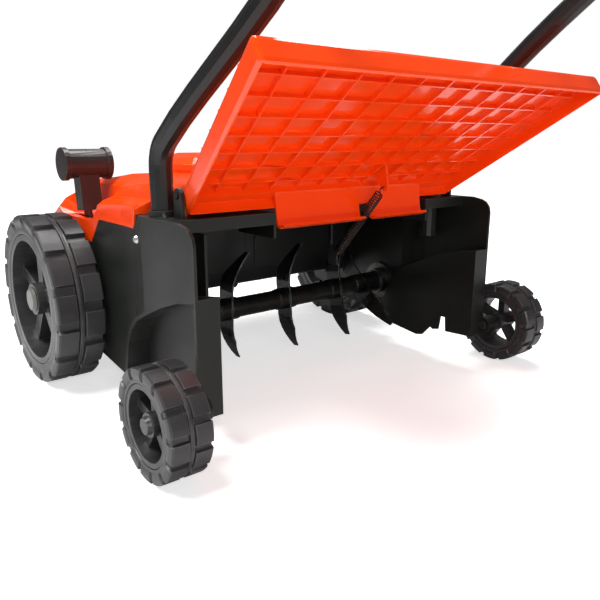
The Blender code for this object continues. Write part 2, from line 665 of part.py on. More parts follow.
def motor_tray():
    """Open tray in front of the tunnel: it carries the motor and the pivot of the front axle."""
    tray = box("motor_tray", (CHAMBER_INNER_X, TRAY_BACK, TRAY_LOW), (TRAY_RIGHT, TRAY_FRONT, TRAY_TOP), "deck")
    cut(tray, box("tray_inside", (CHAMBER_INNER_X + WALL, TRAY_BACK + WALL, TRAY_LOW + WALL),
                  (TRAY_RIGHT - WALL, TRAY_FRONT - WALL, TRAY_TOP + 0.02), "deck"))
    cradle_top = MOTOR_Z - MOTOR_R - GAP
    for i, x in enumerate((-45 * MM, 35 * MM)):
        join(tray, box(f"motor_cradle_{i}", (x, MOTOR_Y - 22 * MM, TRAY_LOW + 1 * MM),
                       (x + 10 * MM, MOTOR_Y + 22 * MM, cradle_top), "deck"))
    cut(tray, rod("shaft_window", (CHAMBER_INNER_X - 0.01, MOTOR_Y, MOTOR_Z), (CHAMBER_INNER_X + 0.01, MOTOR_Y, MOTOR_Z),
                  MOTOR_SHAFT_R + 3 * MM, "deck"))
    for i, x in enumerate((CHAMBER_INNER_X, -5 * MM, TRAY_RIGHT - 10 * MM)):
        lug = [(CRANK_Y - 11 * MM, TRAY_LOW + 1 * MM), *arc((CRANK_Y, CRANK_Z), 11 * MM, 180, 360, 9),
               (CRANK_Y + 11 * MM, TRAY_LOW + 1 * MM)]
        join(tray, plate(f"crank_lug_{i}", [lug], x, x + 10 * MM, "deck"))
    cut(tray, rod("crank_bore", (-0.2, CRANK_Y, CRANK_Z), (0.2, CRANK_Y, CRANK_Z), CRANK_R + RUN, "deck", 20))
    return tray


def motor_body():
    """Motor can with a bearing boss at each end and a bore for its shaft."""
    bore = MOTOR_SHAFT_R + RUN
    profile = [(16 * MM, 84 * MM), (16 * MM, 72 * MM), (MOTOR_R - 4 * MM, 68 * MM), (MOTOR_R, 62 * MM),
               (MOTOR_R, -62 * MM), (MOTOR_R - 4 * MM, -68 * MM), (16 * MM, -72 * MM), (16 * MM, -84 * MM),
               (bore, -84 * MM), (bore, 84 * MM)]
    return turned("motor_body", profile, (0, MOTOR_Y, MOTOR_Z), "motor", 28)


def cooling_fan(x_mid):
    """Motor fan: a disc with radial vanes on a hub."""
    axis = (MOTOR_Y, MOTOR_Z)
    fan = rod("cooling_fan", (x_mid - 1 * MM, *axis), (x_mid + 1 * MM, *axis), 31 * MM, "knob", 28)
    join(fan, rod("fan_hub", (x_mid - 6 * MM, *axis), (x_mid + 8 * MM, *axis), 8 * MM, "knob", 20))
    for i in range(8):
        vane = box(f"fan_vane_{i}", (-9 * MM, 6 * MM, -0.8 * MM), (0, 30 * MM, 0.8 * MM), "knob")
        vane.matrix_world = Matrix.Translation((x_mid, *axis)) @ Matrix.Rotation(math.radians(45 * i), 4, "X")
        join(fan, vane)
    cut(fan, rod("fan_bore", (x_mid - 0.02, *axis), (x_mid + 0.02, *axis), MOTOR_SHAFT_R + GAP, "knob", 16))
    return fan


# ---------------------------------------------------------------- front axle and height lever


def front_axle():
    """Cranked axle: pivot bar, a crank plate at each end, and the two wheel stubs."""
    axle = rod("front_axle", (-CRANK_INNER_X - 1 * MM, CRANK_Y, CRANK_Z), (CRANK_INNER_X + 1 * MM, CRANK_Y, CRANK_Z),
               CRANK_R, "steel", 20)
    run = Vector((WHEELBASE - CRANK_Y, FRONT_RADIUS - CRANK_Z))
    along = math.degrees(math.atan2(run.y, run.x))
    crank = [*arc((CRANK_Y, CRANK_Z), 10 * MM, along + 90, along + 270, 7),
             *arc((WHEELBASE, FRONT_RADIUS), 9 * MM, along - 90, along + 90, 7)]
    stub_end = FRONT_OUTER - 7 * MM
    for side, label in ((-1, "left"), (1, "right")):
        x_low, x_high = sorted((side * CRANK_INNER_X, side * (CRANK_INNER_X + CRANK_PLATE)))
        join(axle, plate(f"crank_plate_{label}", [crank], x_low, x_high, "steel"))
        join(axle, rod(f"wheel_stub_{label}", (side * (CRANK_INNER_X + 1 * MM), WHEELBASE, FRONT_RADIUS),
                       (side * stub_end, WHEELBASE, FRONT_RADIUS), FRONT_AXLE_R, "steel", 20))
    return axle


def height_lever():
    """Flat lever beside the left crank plate, up through the hood to the knob's stem."""
    x_high = -CRANK_INNER_X + 4.7 * MM
    x_low = -CRANK_INNER_X + GAP
    run = Vector((KNOB_Y - CRANK_Y, KNOB_Z - CRANK_Z))
    across = Vector((-run.y, run.x)).normalized() * 8 * MM
    foot = Vector((CRANK_Y, CRANK_Z))
    top = foot + run.normalized() * (run.length - 30 * MM)
    angle = math.degrees(math.atan2(run.y, run.x))
    outline = [tuple(top - across), tuple(top + across), *arc(foot, 11 * MM, angle + 60, angle + 300, 9)]
    lever = plate("height_lever", [outline], x_low, x_high, "steel")
    cut(lever, rod("lever_bore", (x_low - 0.01, CRANK_Y, CRANK_Z), (x_high + 0.01, CRANK_Y, CRANK_Z),
                   CRANK_R + GAP, "steel", 20))
    return lever


def height_knob():
    """Moulded T-handle: a square stem and a ribbed cylinder across it, with a flange at each end."""
    half = KNOB_LENGTH / 2
    axis = (KNOB_Y, KNOB_Z)
    knob = rod("height_knob", (LEVER_X - half, *axis), (LEVER_X + half, *axis), KNOB_R - 2 * MM, "knob", 24)
    for side in (-1, 1):
        inner = LEVER_X + side * (half - 6 * MM)
        join(knob, rod(f"knob_flange_{side}", (inner, *axis), (LEVER_X + side * half, *axis), KNOB_R, "knob", 24))
    lean = math.atan2(KNOB_Y - CRANK_Y, KNOB_Z - CRANK_Z)
    stem = box("knob_stem", (-12 * MM, -10 * MM, -KNOB_STEM), (12 * MM, 10 * MM, 0), "knob")
    stem.matrix_world = Matrix.Translation((LEVER_X, *axis)) @ Matrix.Rotation(-lean, 4, "X")
    join(knob, stem)
    slot = box("knob_slot", (LEVER_PLATE_LOW - GAP - LEVER_X, -8 * MM - GAP, -0.1),
               (LEVER_PLATE_HIGH + GAP - LEVER_X, 8 * MM + GAP, -30 * MM + GAP), "knob")
    slot.matrix_world = stem.matrix_world
    cut(knob, slot)
    return knob


# ---------------------------------------------------------------- hood
def hood_sections():
    """Half cross-sections (x, z) from the middle to the lower edge, by distance forward."""
    top, shelf = 246 * MM, DECK_TOP + 10 * MM
    slim = TUBE_X - SOCKET_R - 2 * GAP
    wide, side = PANEL_REAR_X, PANEL_FRONT_X
    foot = DECK_TOP + GAP
    flat = [(0, top), (100 * MM, top), (150 * MM, top)]
    low_flat = [(0, 240 * MM), (100 * MM, 239 * MM), (150 * MM, 236 * MM)]
    valley = [(166 * MM, 232 * MM), (173 * MM, VALLEY_Z), (190 * MM, VALLEY_Z), (side, VALLEY_Z), (side, BAND_DEEP)]
    tail = [(slim - 8 * MM, top - 3 * MM), (slim, top - 10 * MM), (slim, shelf + 8 * MM), (slim, shelf), (slim, foot)]
    return [
        (HINGE_Y + 9 * MM, flat + tail),
        (TUBE_Y + 22 * MM, flat + tail),
        (TUBE_Y + 27 * MM, flat + [(178 * MM, top - 5 * MM), (185 * MM, shelf + 2 * MM), (206 * MM, shelf - 1 * MM),
                                   (wide, shelf - 5 * MM), (wide, foot)]),
        (129 * MM, flat + [(178 * MM, top - 4 * MM), (186 * MM, shelf + 2 * MM), (202 * MM, shelf),
                           (208 * MM, shelf - 5 * MM), (208 * MM, BAND_LOW)]),
        (160 * MM, flat + [(180 * MM, top - 6 * MM), (187 * MM, shelf + 2 * MM), (199 * MM, shelf),
                           (side, shelf - 4 * MM), (side, BAND_LOW)]),
        (221 * MM, flat + [(180 * MM, top - 13 * MM), (187 * MM, shelf), (199 * MM, shelf - 4 * MM),
                           (side, shelf - 9 * MM), (side, BAND_LOW)]),
        (236 * MM, flat + [(172 * MM, 228 * MM), (180 * MM, 206 * MM), (192 * MM, 203 * MM), (side, 200 * MM),
                           (side, 184 * MM)]),
        (248 * MM, flat + valley),
        (332 * MM, low_flat + valley),
        (346 * MM, low_flat + [(172 * MM, 230 * MM), (184 * MM, 220 * MM), (197 * MM, 214 * MM),
                               (side, 204 * MM), (side, BAND_DEEP)]),
        (380 * MM, [(0, 226 * MM), (100 * MM, 224 * MM), (146 * MM, 218 * MM), (168 * MM, 212 * MM),
                    (184 * MM, 206 * MM), (195 * MM, 200 * MM), (202 * MM, 192 * MM), (202 * MM, BAND_DEEP)]),
        (397 * MM, [(0, 200 * MM), (100 * MM, 199 * MM), (144 * MM, 196 * MM), (165 * MM, 193 * MM),
                    (178 * MM, 190 * MM), (186 * MM, 186 * MM), (190 * MM, 180 * MM), (190 * MM, 150 * MM)]),
        (400 * MM, [(0, 120 * MM), (100 * MM, 120 * MM), (144 * MM, 120 * MM), (165 * MM, 120 * MM),
                    (176 * MM, 120 * MM), (182 * MM, 120 * MM), (186 * MM, 120 * MM), (188 * MM, 120 * MM)]),
    ]


def hood():
    """One-piece hood: a loft over its cross-sections, mirrored, with a slot for the height lever."""
    shape = bmesh.new()
    rows = [[shape.verts.new((x, y, z)) for x, z in section] for y, section in hood_sections()]
    for near, far in zip(rows, rows[1:]):
        for i in range(len(near) - 1):
            shape.faces.new((near[i], near[i + 1], far[i + 1], far[i]))
    bmesh.ops.recalc_face_normals(shape, faces=shape.faces)
    mesh = bpy.data.meshes.new("hood")
    shape.to_mesh(mesh)
    shape.free()
    if mesh.polygons[0].normal.z < 0:
        mesh.flip_normals()
    shell = place("hood", mesh, "orange")
    mirror = shell.modifiers.new("mirror", "MIRROR")
    mirror.merge_threshold = 0.00001
    skin = shell.modifiers.new("skin", "SOLIDIFY")
    skin.thickness = SKIN
    skin.offset = -1
    slot_low, slot_high = slot_range()
    reach = 3 * MM
    cut(shell, box("lever_slot", (LEVER_PLATE_LOW - reach, slot_low, VALLEY_Z - 0.012),
                   (LEVER_PLATE_HIGH + reach, slot_high, VALLEY_Z + 0.012), "orange"))
    return shell


def slot_range():
    """Ends of the lever's slot in the valley, from the lever's swing."""
    rise = VALLEY_Z - CRANK_Z
    lean = math.atan2(KNOB_Y - CRANK_Y, KNOB_Z - CRANK_Z)
    ends = [CRANK_Y + rise * math.tan(lean + swing) for swing in (-LEVER_SWING, LEVER_SWING)]
    half = 11 * MM
    return ends[0] - half, ends[1] + half


def motor_cover():
    """Domed cover over the motor, standing on the hood, with vent slots across it."""
    low = (-96 * MM, 212 * MM)
    high = (96 * MM, 326 * MM)
    foot, crown = 246 * MM + GAP, 268 * MM
    shape = bmesh.new()
    levels = [(0, foot), (0, foot + 3 * MM), (2 * MM, foot + 9 * MM), (12 * MM, crown - 5 * MM), (30 * MM, crown)]
    rings = []
    for inset, z in levels:
        ring = []
        for cx, cy, start in ((1, 1, 0), (-1, 1, 90), (-1, -1, 180), (1, -1, 270)):
            middle = ((high[0] if cx > 0 else low[0]) - cx * 34 * MM, (high[1] if cy > 0 else low[1]) - cy * 34 * MM)
            ring += [shape.verts.new((x, y, z)) for x, y in arc(middle, 34 * MM - inset, start, start + 90, 5)]
        rings.append(ring)
    for vert in rings[0]:
        vert.co.z -= max(0.0, vert.co.y - 250 * MM) * 0.068
    for near, far in zip(rings, rings[1:]):
        for i in range(len(near)):
            shape.faces.new((near[i], near[(i + 1) % len(near)], far[(i + 1) % len(near)], far[i]))
    shape.faces.new(rings[-1])
    mesh = bpy.data.meshes.new("motor_cover")
    shape.to_mesh(mesh)
    shape.free()
    cover = place("motor_cover", mesh, "orange")
    skin = cover.modifiers.new("skin", "SOLIDIFY")
    skin.thickness = SKIN
    skin.offset = -1
    for i in range(5):
        y = 243 * MM + i * 13 * MM
        cut(cover, box(f"vent_{i}", (-52 * MM, y, crown - 8 * MM), (52 * MM, y + 5 * MM, crown + 5 * MM), "deck"))
    return cover


# ---------------------------------------------------------------- flap, about its hinge
def flap_half(y):
    """Half width of the flap at a distance behind its hinge (y is negative there)."""
    return FLAP_HALF - FLAP_FLARE * y / FLAP_LENGTH


def flap():
    """Rear flap, modelled flat with its hinge at the origin: flared tray, ribs, lip and spring gusset."""
    knuckle = 7 * MM
    bottom = FLAP_TOP - FLAP_DEPTH
    under = FLAP_TOP - SKIN / 2
    rear = -FLAP_LENGTH
    outline = [(-flap_half(knuckle), knuckle), (flap_half(knuckle), knuckle), (flap_half(rear), rear),
               (-flap_half(rear), rear)]
    tray = plate("flap", [outline], bottom, FLAP_TOP, "orange", FACING_Z)
    soften(tray, 4 * MM, 35, 2)
    front, back = knuckle - SKIN, rear + SKIN
    inside = [(SKIN - flap_half(front), front), (flap_half(front) - SKIN, front), (flap_half(back) - SKIN, back),
              (SKIN - flap_half(back), back)]
    cut(tray, plate("flap_inside", [inside], bottom - 0.01, FLAP_TOP - SKIN, "orange", FACING_Z))
    bar_back, bar_front = -7 * MM, front + 1 * MM
    bar = [(1 * MM - flap_half(bar_front), bar_front), (flap_half(bar_front) - 1 * MM, bar_front),
           (flap_half(bar_back) - 1 * MM, bar_back), (1 * MM - flap_half(bar_back), bar_back)]
    join(tray, plate("knuckle_bar", [bar], -6.5 * MM, FLAP_TOP - SKIN * 0.6, "orange", FACING_Z))
    half_t, rib_low = 0.8 * MM, FLAP_TOP - SKIN - 5 * MM
    for i in range(-5, 6):
        near, far = flap_half(-5 * MM) * i / 6, flap_half(rear) * i / 6
        rib = [(near - half_t, -5 * MM), (near + half_t, -5 * MM), (far + half_t, back - half_t),
               (far - half_t, back - half_t)]
        join(tray, plate(f"long_rib_{i + 3}", [rib], rib_low, under, "orange", FACING_Z))
    for i in range(7):
        y = -22 * MM - i * 25 * MM
        reach = flap_half(y) - half_t
        join(tray, box(f"cross_rib_{i}", (-reach, y - 2 * half_t, rib_low + 0.6 * MM), (reach, y, FLAP_TOP - SKIN * 0.4),
                       "orange"))
    tip = -LIP_DEPTH
    lip = [(-5 * MM, under), (10.5 * MM, tip * 0.71), (12 * MM, tip * 0.88), (9 * MM, tip + 1 * MM), (2 * MM, tip),
           (2 * MM, tip + 2.5 * MM), (8 * MM, tip * 0.915), (9.4 * MM, tip * 0.86), (8 * MM, tip * 0.72),
           (-9 * MM, under)]
    lip_plate = plate("flap_lip", [lip], LIP_LEFT, LIP_RIGHT, "orange")
    cut(lip_plate, box("spring_notch", (SPRING_X - 8 * MM, -20 * MM, tip - 5 * MM),
                       (SPRING_X + 8 * MM, 20 * MM, tip * 0.52), "orange"))
    join(tray, lip_plate)
    gusset = [(-SPRING_ARM - 16 * MM, under), (8 * MM - SPRING_ARM, under),
              (4 * MM - SPRING_ARM, -SPRING_DROP - 3 * MM), (-SPRING_ARM - 3 * MM, -SPRING_DROP - 4 * MM)]
    gusset_x = SPRING_X + SPRING_WIRE_R + GAP
    join(tray, plate("spring_gusset", [gusset], gusset_x, gusset_x + SKIN, "orange"))
    span = FLAP_HALF + 5 * MM
    cut(tray, rod("flap_hinge_bore", (-span, 0, 0), (span, 0, 0), HINGE_ROD_R + RUN, "orange"))
    return tray


def hinge_rod():
    """Steel rod through the lugs and the flap."""
    reach = LUG_X + HINGE_LUG_T + 1.5 * MM
    return rod("flap_hinge_rod", (-reach, HINGE_Y, HINGE_Z), (reach, HINGE_Y, HINGE_Z), HINGE_ROD_R, "steel", 16)


def spring_ends():
    """Lower and upper hook points of the flap's spring, in the machine's frame."""
    low = Vector((SPRING_X, SPRING_LOW_Y, SPRING_LOW_Z))
    arm = Matrix.Rotation(-FLAP_RAISED, 3, "X") @ Vector((0, -SPRING_ARM, -SPRING_DROP))
    return low, Vector((SPRING_X, HINGE_Y, HINGE_Z)) + arm


def flap_spring():
    """Extension spring with straight hook shanks, along a line between its two hooks."""
    low, high = spring_ends()
    along = high - low
    turns, per_turn = 15, 8
    lead = 12 * MM
    body = along.length - 2 * lead
    facing = along.to_track_quat("Z", "Y").to_matrix()
    points = [(0, 0, 0), (0, 0, lead * 0.6)]
    for i in range(turns * per_turn + 1):
        turn = 2 * math.pi * i / per_turn
        points.append((SPRING_R * math.cos(turn), SPRING_R * math.sin(turn), lead + body * i / (turns * per_turn)))
    points += [(0, 0, along.length - lead * 0.6), (0, 0, along.length)]
    return tube("flap_spring", [low + facing @ Vector(p) for p in points], SPRING_WIRE_R, "spring", 1)


def spring_bracket():
    """Strip that hangs from the notch's front flange and carries the spring's lower hook."""
    x_high = SPRING_X - SPRING_WIRE_R - GAP
    x_low = x_high - 3 * MM
    y = SPRING_LOW_Y
    notch_y = HINGE_Y + LIP_DEPTH + 5 * MM
    top = DECK_TOP - WALL - GAP
    outline = [(y - 7 * MM, SPRING_LOW_Z - 8 * MM), (y + 7 * MM, SPRING_LOW_Z - 8 * MM), (y + 9 * MM, 180 * MM),
               (notch_y - GAP, 187 * MM), (notch_y - GAP, top), (y + 2 * MM, top), (y + 3 * MM, 162 * MM),
               (y - 7 * MM, 150 * MM)]
    return plate("spring_bracket", [outline], x_low, x_high, "steel")


# ---------------------------------------------------------------- handle
def lower_tube_points(side):
    """Centre line of a lower handle tube, from inside the deck to its top end."""
    points = [(side * TUBE_X, TUBE_Y, TUBE_FOOT_Z), (side * TUBE_X, TUBE_Y, TUBE_BEND_Z - 2 * MM)]
    steps = 6
    for i in range(steps + 1):
        turn = BEND_TURN * i / steps
        points.append((side * TUBE_X, TUBE_Y - TUBE_BEND_R * (1 - math.cos(turn)),
                       TUBE_BEND_Z + TUBE_BEND_R * math.sin(turn)))
    draw = TUBE_X - TUBE_UPPER_X
    for i in range(1, 7):
        share = i / 6
        ease = share * share * (3 - 2 * share)
        along = SLOPE_DIR * (TUBE_JOGGLE * share)
        points.append((side * (TUBE_X - draw * ease), BEND_END_Y + along.y, BEND_END_Z + along.z))
    top = SLOPE_DIR * LOWER_LENGTH
    points.append((side * TUBE_UPPER_X, BEND_END_Y + top.y, BEND_END_Z + top.z))
    return points


def lower_tube(side, label):
    made = tube(label, lower_tube_points(side), TUBE_R, "tube", 4)
    reach = TUBE_R + 2 * MM
    low, high = sorted((side * (TUBE_UPPER_X - reach), side * (TUBE_UPPER_X + reach)))
    return cut(made, rod(label + "_bolt_hole", (low, FOLD_Y, FOLD_Z), (high, FOLD_Y, FOLD_Z), CLAMP_BOLT_R + GAP, "tube"))


def upper_handle():
    """U-shaped upper handle about the clamp bolts, with local z along the slope."""
    corner = UPPER_CORNER_R
    top = UPPER_LENGTH
    points = [(-UPPER_X, 0, -UPPER_TAIL), (-UPPER_X, 0, top - corner - 5 * MM)]
    points += [(x, 0, z) for x, z in arc((corner - UPPER_X, top - corner), corner, 180, 90, 7)]
    points += [(x, 0, z) for x, z in arc((UPPER_X - corner, top - corner), corner, 90, 0, 7)]
    points += [(UPPER_X, 0, top - corner - 5 * MM), (UPPER_X, 0, -UPPER_TAIL)]
    made = tube("upper_handle", points, TUBE_R, "tube", 4)
    for side in (-1, 1):
        low, high = sorted((side * (UPPER_X - 0.02), side * (UPPER_X + 0.02)))
        cut(made, rod(f"upper_bolt_hole_{side}", (low, 0, 0), (high, 0, 0), CLAMP_BOLT_R + GAP, "tube"))
    return made


def clamp_knob(side, label):
    """Lobed clamp knob with its bolt through both tubes, about the clamp axis."""
    face = TUBE_UPPER_X + TUBE_R + GAP
    inner = UPPER_X - TUBE_R - 5 * MM
    lobes = [((CLAMP_KNOB_R - 2.5 * MM + 2.5 * MM * math.cos(5 * t)) * math.cos(t),
              (CLAMP_KNOB_R - 2.5 * MM + 2.5 * MM * math.cos(5 * t)) * math.sin(t))
             for t in (2 * math.pi * i / 40 for i in range(40))]
    low, high = sorted((side * (face + 5 * MM), side * (face + 19 * MM)))
    knob = plate(label, [lobes], low, high, "knob")
    join(knob, rod(label + "_neck", (side * face, 0, 0), (side * (face + 6 * MM), 0, 0), 9 * MM, "knob", 20))
    return join(knob, rod(label + "_bolt", (side * inner, 0, 0), (side * (face + 3 * MM), 0, 0), CLAMP_BOLT_R, "knob", 16))


def grip_sleeve():
    """Foam sleeve on the crossbar."""
    bore = TUBE_R + GAP
    profile = [(GRIP_R - 2 * MM, GRIP_HALF), (GRIP_R, GRIP_HALF - 2 * MM), (GRIP_R, 2 * MM - GRIP_HALF),
               (GRIP_R - 2 * MM, -GRIP_HALF), (bore, -GRIP_HALF), (bore, GRIP_HALF)]
    return turned("grip_sleeve", profile, (0, 0, UPPER_LENGTH), "rubber", 24)


def bail_clip(side, label):
    """Block on the inside of a handle leg, with the hole for the bail's pin."""
    outer = UPPER_X - TUBE_R - GAP
    inner = outer - 12 * MM
    low, high = sorted((side * inner, side * outer))
    clip = box(label, (low, -9 * MM, BAIL_AT - 13 * MM), (high, 9 * MM, BAIL_AT + 13 * MM), "knob")
    soften(clip, 2 * MM)
    return cut(clip, rod(label + "_hole", (low - 0.01, 0, BAIL_AT), (high + 0.01, 0, BAIL_AT), BAIL_R + RUN, "knob"))


def bail_lever():
    """Wire bail about its pins, with local z along its arms."""
    arm_x = UPPER_X - TUBE_R - GAP - 12 * MM - 5 * MM
    pin_x = arm_x + 5 * MM + 10 * MM
    corner = 28 * MM
    half = [(pin_x, 0), (arm_x + 6 * MM, 0), *arc((arm_x + 6 * MM, 6 * MM), 6 * MM, 270, 180, 4),
            *arc((arm_x - corner, BAIL_LENGTH - corner), corner, 0, 90, 6)]
    points = [(x, 0, z) for x, z in half] + [(-x, 0, z) for x, z in reversed(half)]
    return tube("bail_lever", points, BAIL_R, "tube", 3)


def switch_box():
    """Switch housing outside the right leg, with a well for the lock button."""
    housing = box("switch_box", (SWITCH_IN_X, -SWITCH_DEEP, SWITCH_AT - SWITCH_HALF),
                  (SWITCH_OUT_X, SWITCH_DEEP, SWITCH_AT + SWITCH_HALF), "knob")
    soften(housing, 6 * MM, 35, 2)
    x = (SWITCH_IN_X + SWITCH_OUT_X) / 2
    low_z = SWITCH_AT - 30 * MM
    hook = [(x, 4 * MM - SWITCH_DEEP, low_z), (x, -SWITCH_DEEP - 10 * MM, low_z)]
    hook += [(x, u, v) for u, v in arc((-SWITCH_DEEP - 10 * MM, low_z + 9 * MM), 9 * MM, 270, 110, 7)]
    join(housing, tube("lead_hook", hook, 2.5 * MM, "knob", 2))
    return cut(housing, rod("button_well", (x, SWITCH_DEEP - 12 * MM, SWITCH_AT + 12 * MM),
                            (x, SWITCH_DEEP + 0.01, SWITCH_AT + 12 * MM), BUTTON_R + RUN, "knob", 20))


def lock_button():
    """Push button that frees the switch."""
    x = (SWITCH_IN_X + SWITCH_OUT_X) / 2
    button = rod("lock_button", (x, SWITCH_DEEP - 12 * MM + BUTTON_TRAVEL + GAP, SWITCH_AT + 12 * MM),
                 (x, SWITCH_DEEP + BUTTON_TRAVEL + 1 * MM, SWITCH_AT + 12 * MM), BUTTON_R, "orange", 20)
    return soften(button, 1 * MM)


def plug_inlet():
    """Recessed inlet for an extension lead, below the switch box, with its two round pins."""
    x = (SWITCH_IN_X + SWITCH_OUT_X) / 2
    top = SWITCH_AT - SWITCH_HALF - GAP
    inlet = rod("plug_inlet", (x, 0, top - 34 * MM), (x, 0, top), 18 * MM, "knob", 28)
    cut(inlet, rod("inlet_well", (x, 0, top - 40 * MM), (x, 0, top - 6 * MM), 15.5 * MM, "knob", 28))
    for side in (-1, 1):
        pin_x = x + side * 9.5 * MM
        join(inlet, rod(f"inlet_pin_{side}", (pin_x, 0, top - 25 * MM), (pin_x, 0, top - 5 * MM), 2.4 * MM, "steel", 12))
    return inlet


# ---------------------------------------------------------------- fasteners and stubs
def panel_screw(side, label):
    """Pan-head screw at the top of a side panel."""
    y, z = 116 * MM, 190 * MM
    plane = PANEL_REAR_X - (PANEL_REAR_X - PANEL_FRONT_X) * (y - 105 * MM) / (35 * MM)
    start = side * (plane + GAP + 0.6 * MM)
    return rod(label, (start, y, z), (start + side * 2.4 * MM, y, z), 4.5 * MM, "steel", 16, 2.8 * MM)


def rear_stub(side, label):
    """Stub axle of a rear wheel, through the panel's lug."""
    start = side * (LUG_INNER_X - 1 * MM)
    end = side * (REAR_OUTER - 7 * MM)
    return rod(label, (start, 0, REAR_RADIUS), (end, 0, REAR_RADIUS), REAR_AXLE_R, "steel", 20)


# ---------------------------------------------------------------- assembly
SIDES = ((-1, "left"), (1, "right"))

for side, hand in SIDES:
    side_panel(side, f"{hand}_side_panel")
    panel_screw(side, f"{hand}_panel_screw")
    rear_stub(side, f"rear_stub_{hand}")
    lower_tube(side, f"lower_handle_{hand}")
tunnel_roof()
belt_wall()
tunnel_front_wall()
bearing_carrier()
motor_tray()
motor_body()
drive_belt()
hood()
motor_cover()
hinge_rod()
spring_bracket()
bearing("rotor_bearing_left", LEFT_BEARING_X)
bearing("rotor_bearing_right", RIGHT_BEARING_X)

for side, hand in SIDES:
    centre, pieces = rear_wheel(side, hand)
    carry(pivot(f"rear_wheel_{hand}_axis", centre), pieces)

rotor_axis = pivot("rotor_axis", (0, ROTOR_Y, ROTOR_Z))
places = blade_places()
turns = [math.radians(degrees) for degrees in (8, 2, -5, -11, -48)]
knives = [blade(f"rotor_blade_{i + 1}", x, turn) for i, (x, turn) in enumerate(zip(places, turns))]
clear = BLADE_T / 2 + GAP
sleeves = [sleeve(f"rotor_sleeve_{i + 1}", low + clear, high - clear)
           for i, (low, high) in enumerate(zip(places, places[1:]))]
shaft = rod("rotor_shaft", (ROTOR_LEFT_X, ROTOR_Y, ROTOR_Z), (ROTOR_RIGHT_X, ROTOR_Y, ROTOR_Z), ROTOR_SHAFT_R,
            "steel", 20)
for name, low, high in (("left_shoulder", SLEEVE_LEFT_X, places[0] - clear), ("right_shoulder", places[-1] + clear, SLEEVE_RIGHT_X)):
    join(shaft, rod(name, (low, ROTOR_Y, ROTOR_Z), (high, ROTOR_Y, ROTOR_Z), SLEEVE_R, "steel", 20))
driven = pulley("rotor_pulley", BELT_X, ROTOR_Y, ROTOR_Z, DRIVEN_R, ROTOR_SHAFT_R + GAP)
carry(rotor_axis, knives + sleeves + [shaft, driven])

motor_axis = pivot("motor_axis", (0, MOTOR_Y, MOTOR_Z))
motor_shaft = rod("motor_shaft", (BELT_X - 10 * MM, MOTOR_Y, MOTOR_Z), (FAN_X + 10 * MM, MOTOR_Y, MOTOR_Z),
                  MOTOR_SHAFT_R, "steel", 16)
driver = pulley("motor_pulley", BELT_X, MOTOR_Y, MOTOR_Z, DRIVE_R, MOTOR_SHAFT_R + GAP)
carry(motor_axis, [motor_shaft, driver, cooling_fan(FAN_X)])

crank_axis = pivot("crank_axis", (0, CRANK_Y, CRANK_Z))
carry(crank_axis, [front_axle(), height_lever(), height_knob()])
for side, hand in SIDES:
    centre, pieces = front_wheel(side, hand)
    offset = Vector(centre) - Vector((0, CRANK_Y, CRANK_Z))
    carry(pivot(f"front_wheel_{hand}_axis", offset, 0.0, crank_axis), pieces)

flap_axis = pivot("flap_axis", (0, HINGE_Y, HINGE_Z), -FLAP_RAISED)
hang(flap_axis, [flap()])
spring_axis = pivot("spring_axis", (SPRING_X, SPRING_LOW_Y, SPRING_LOW_Z))
carry(spring_axis, [flap_spring()])

fold_axis = pivot("fold_axis", (0, FOLD_Y, FOLD_Z), BEND_TURN)
hang(fold_axis, [upper_handle(), grip_sleeve(), bail_clip(-1, "bail_clip_left"), bail_clip(1, "bail_clip_right"),
                 switch_box(), plug_inlet()])
button_axis = pivot("button_axis", (0, 0, 0), 0.0, fold_axis)
hang(button_axis, [lock_button()])
bail_axis = pivot("bail_axis", (0, 0, BAIL_AT), -BAIL_OPEN, fold_axis)
hang(bail_axis, [bail_lever()])
for side, hand in SIDES:
    knob_axis = pivot(f"clamp_{hand}_axis", (0, FOLD_Y, FOLD_Z))
    hang(knob_axis, [clamp_knob(side, f"clamp_knob_{hand}")])

for obj in list(PARTS.objects) + list(CUTTERS.objects):
    if obj.parent is None:
        obj.matrix_world = Matrix.Translation((0, FRAME_SHIFT, 0)) @ obj.matrix_world
    if obj.type == "MESH":
        obj.data.set_sharp_from_angle(angle=math.radians(35))
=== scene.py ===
"""Looks for an electric lawn scarifier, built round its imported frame, in metres."""
import math

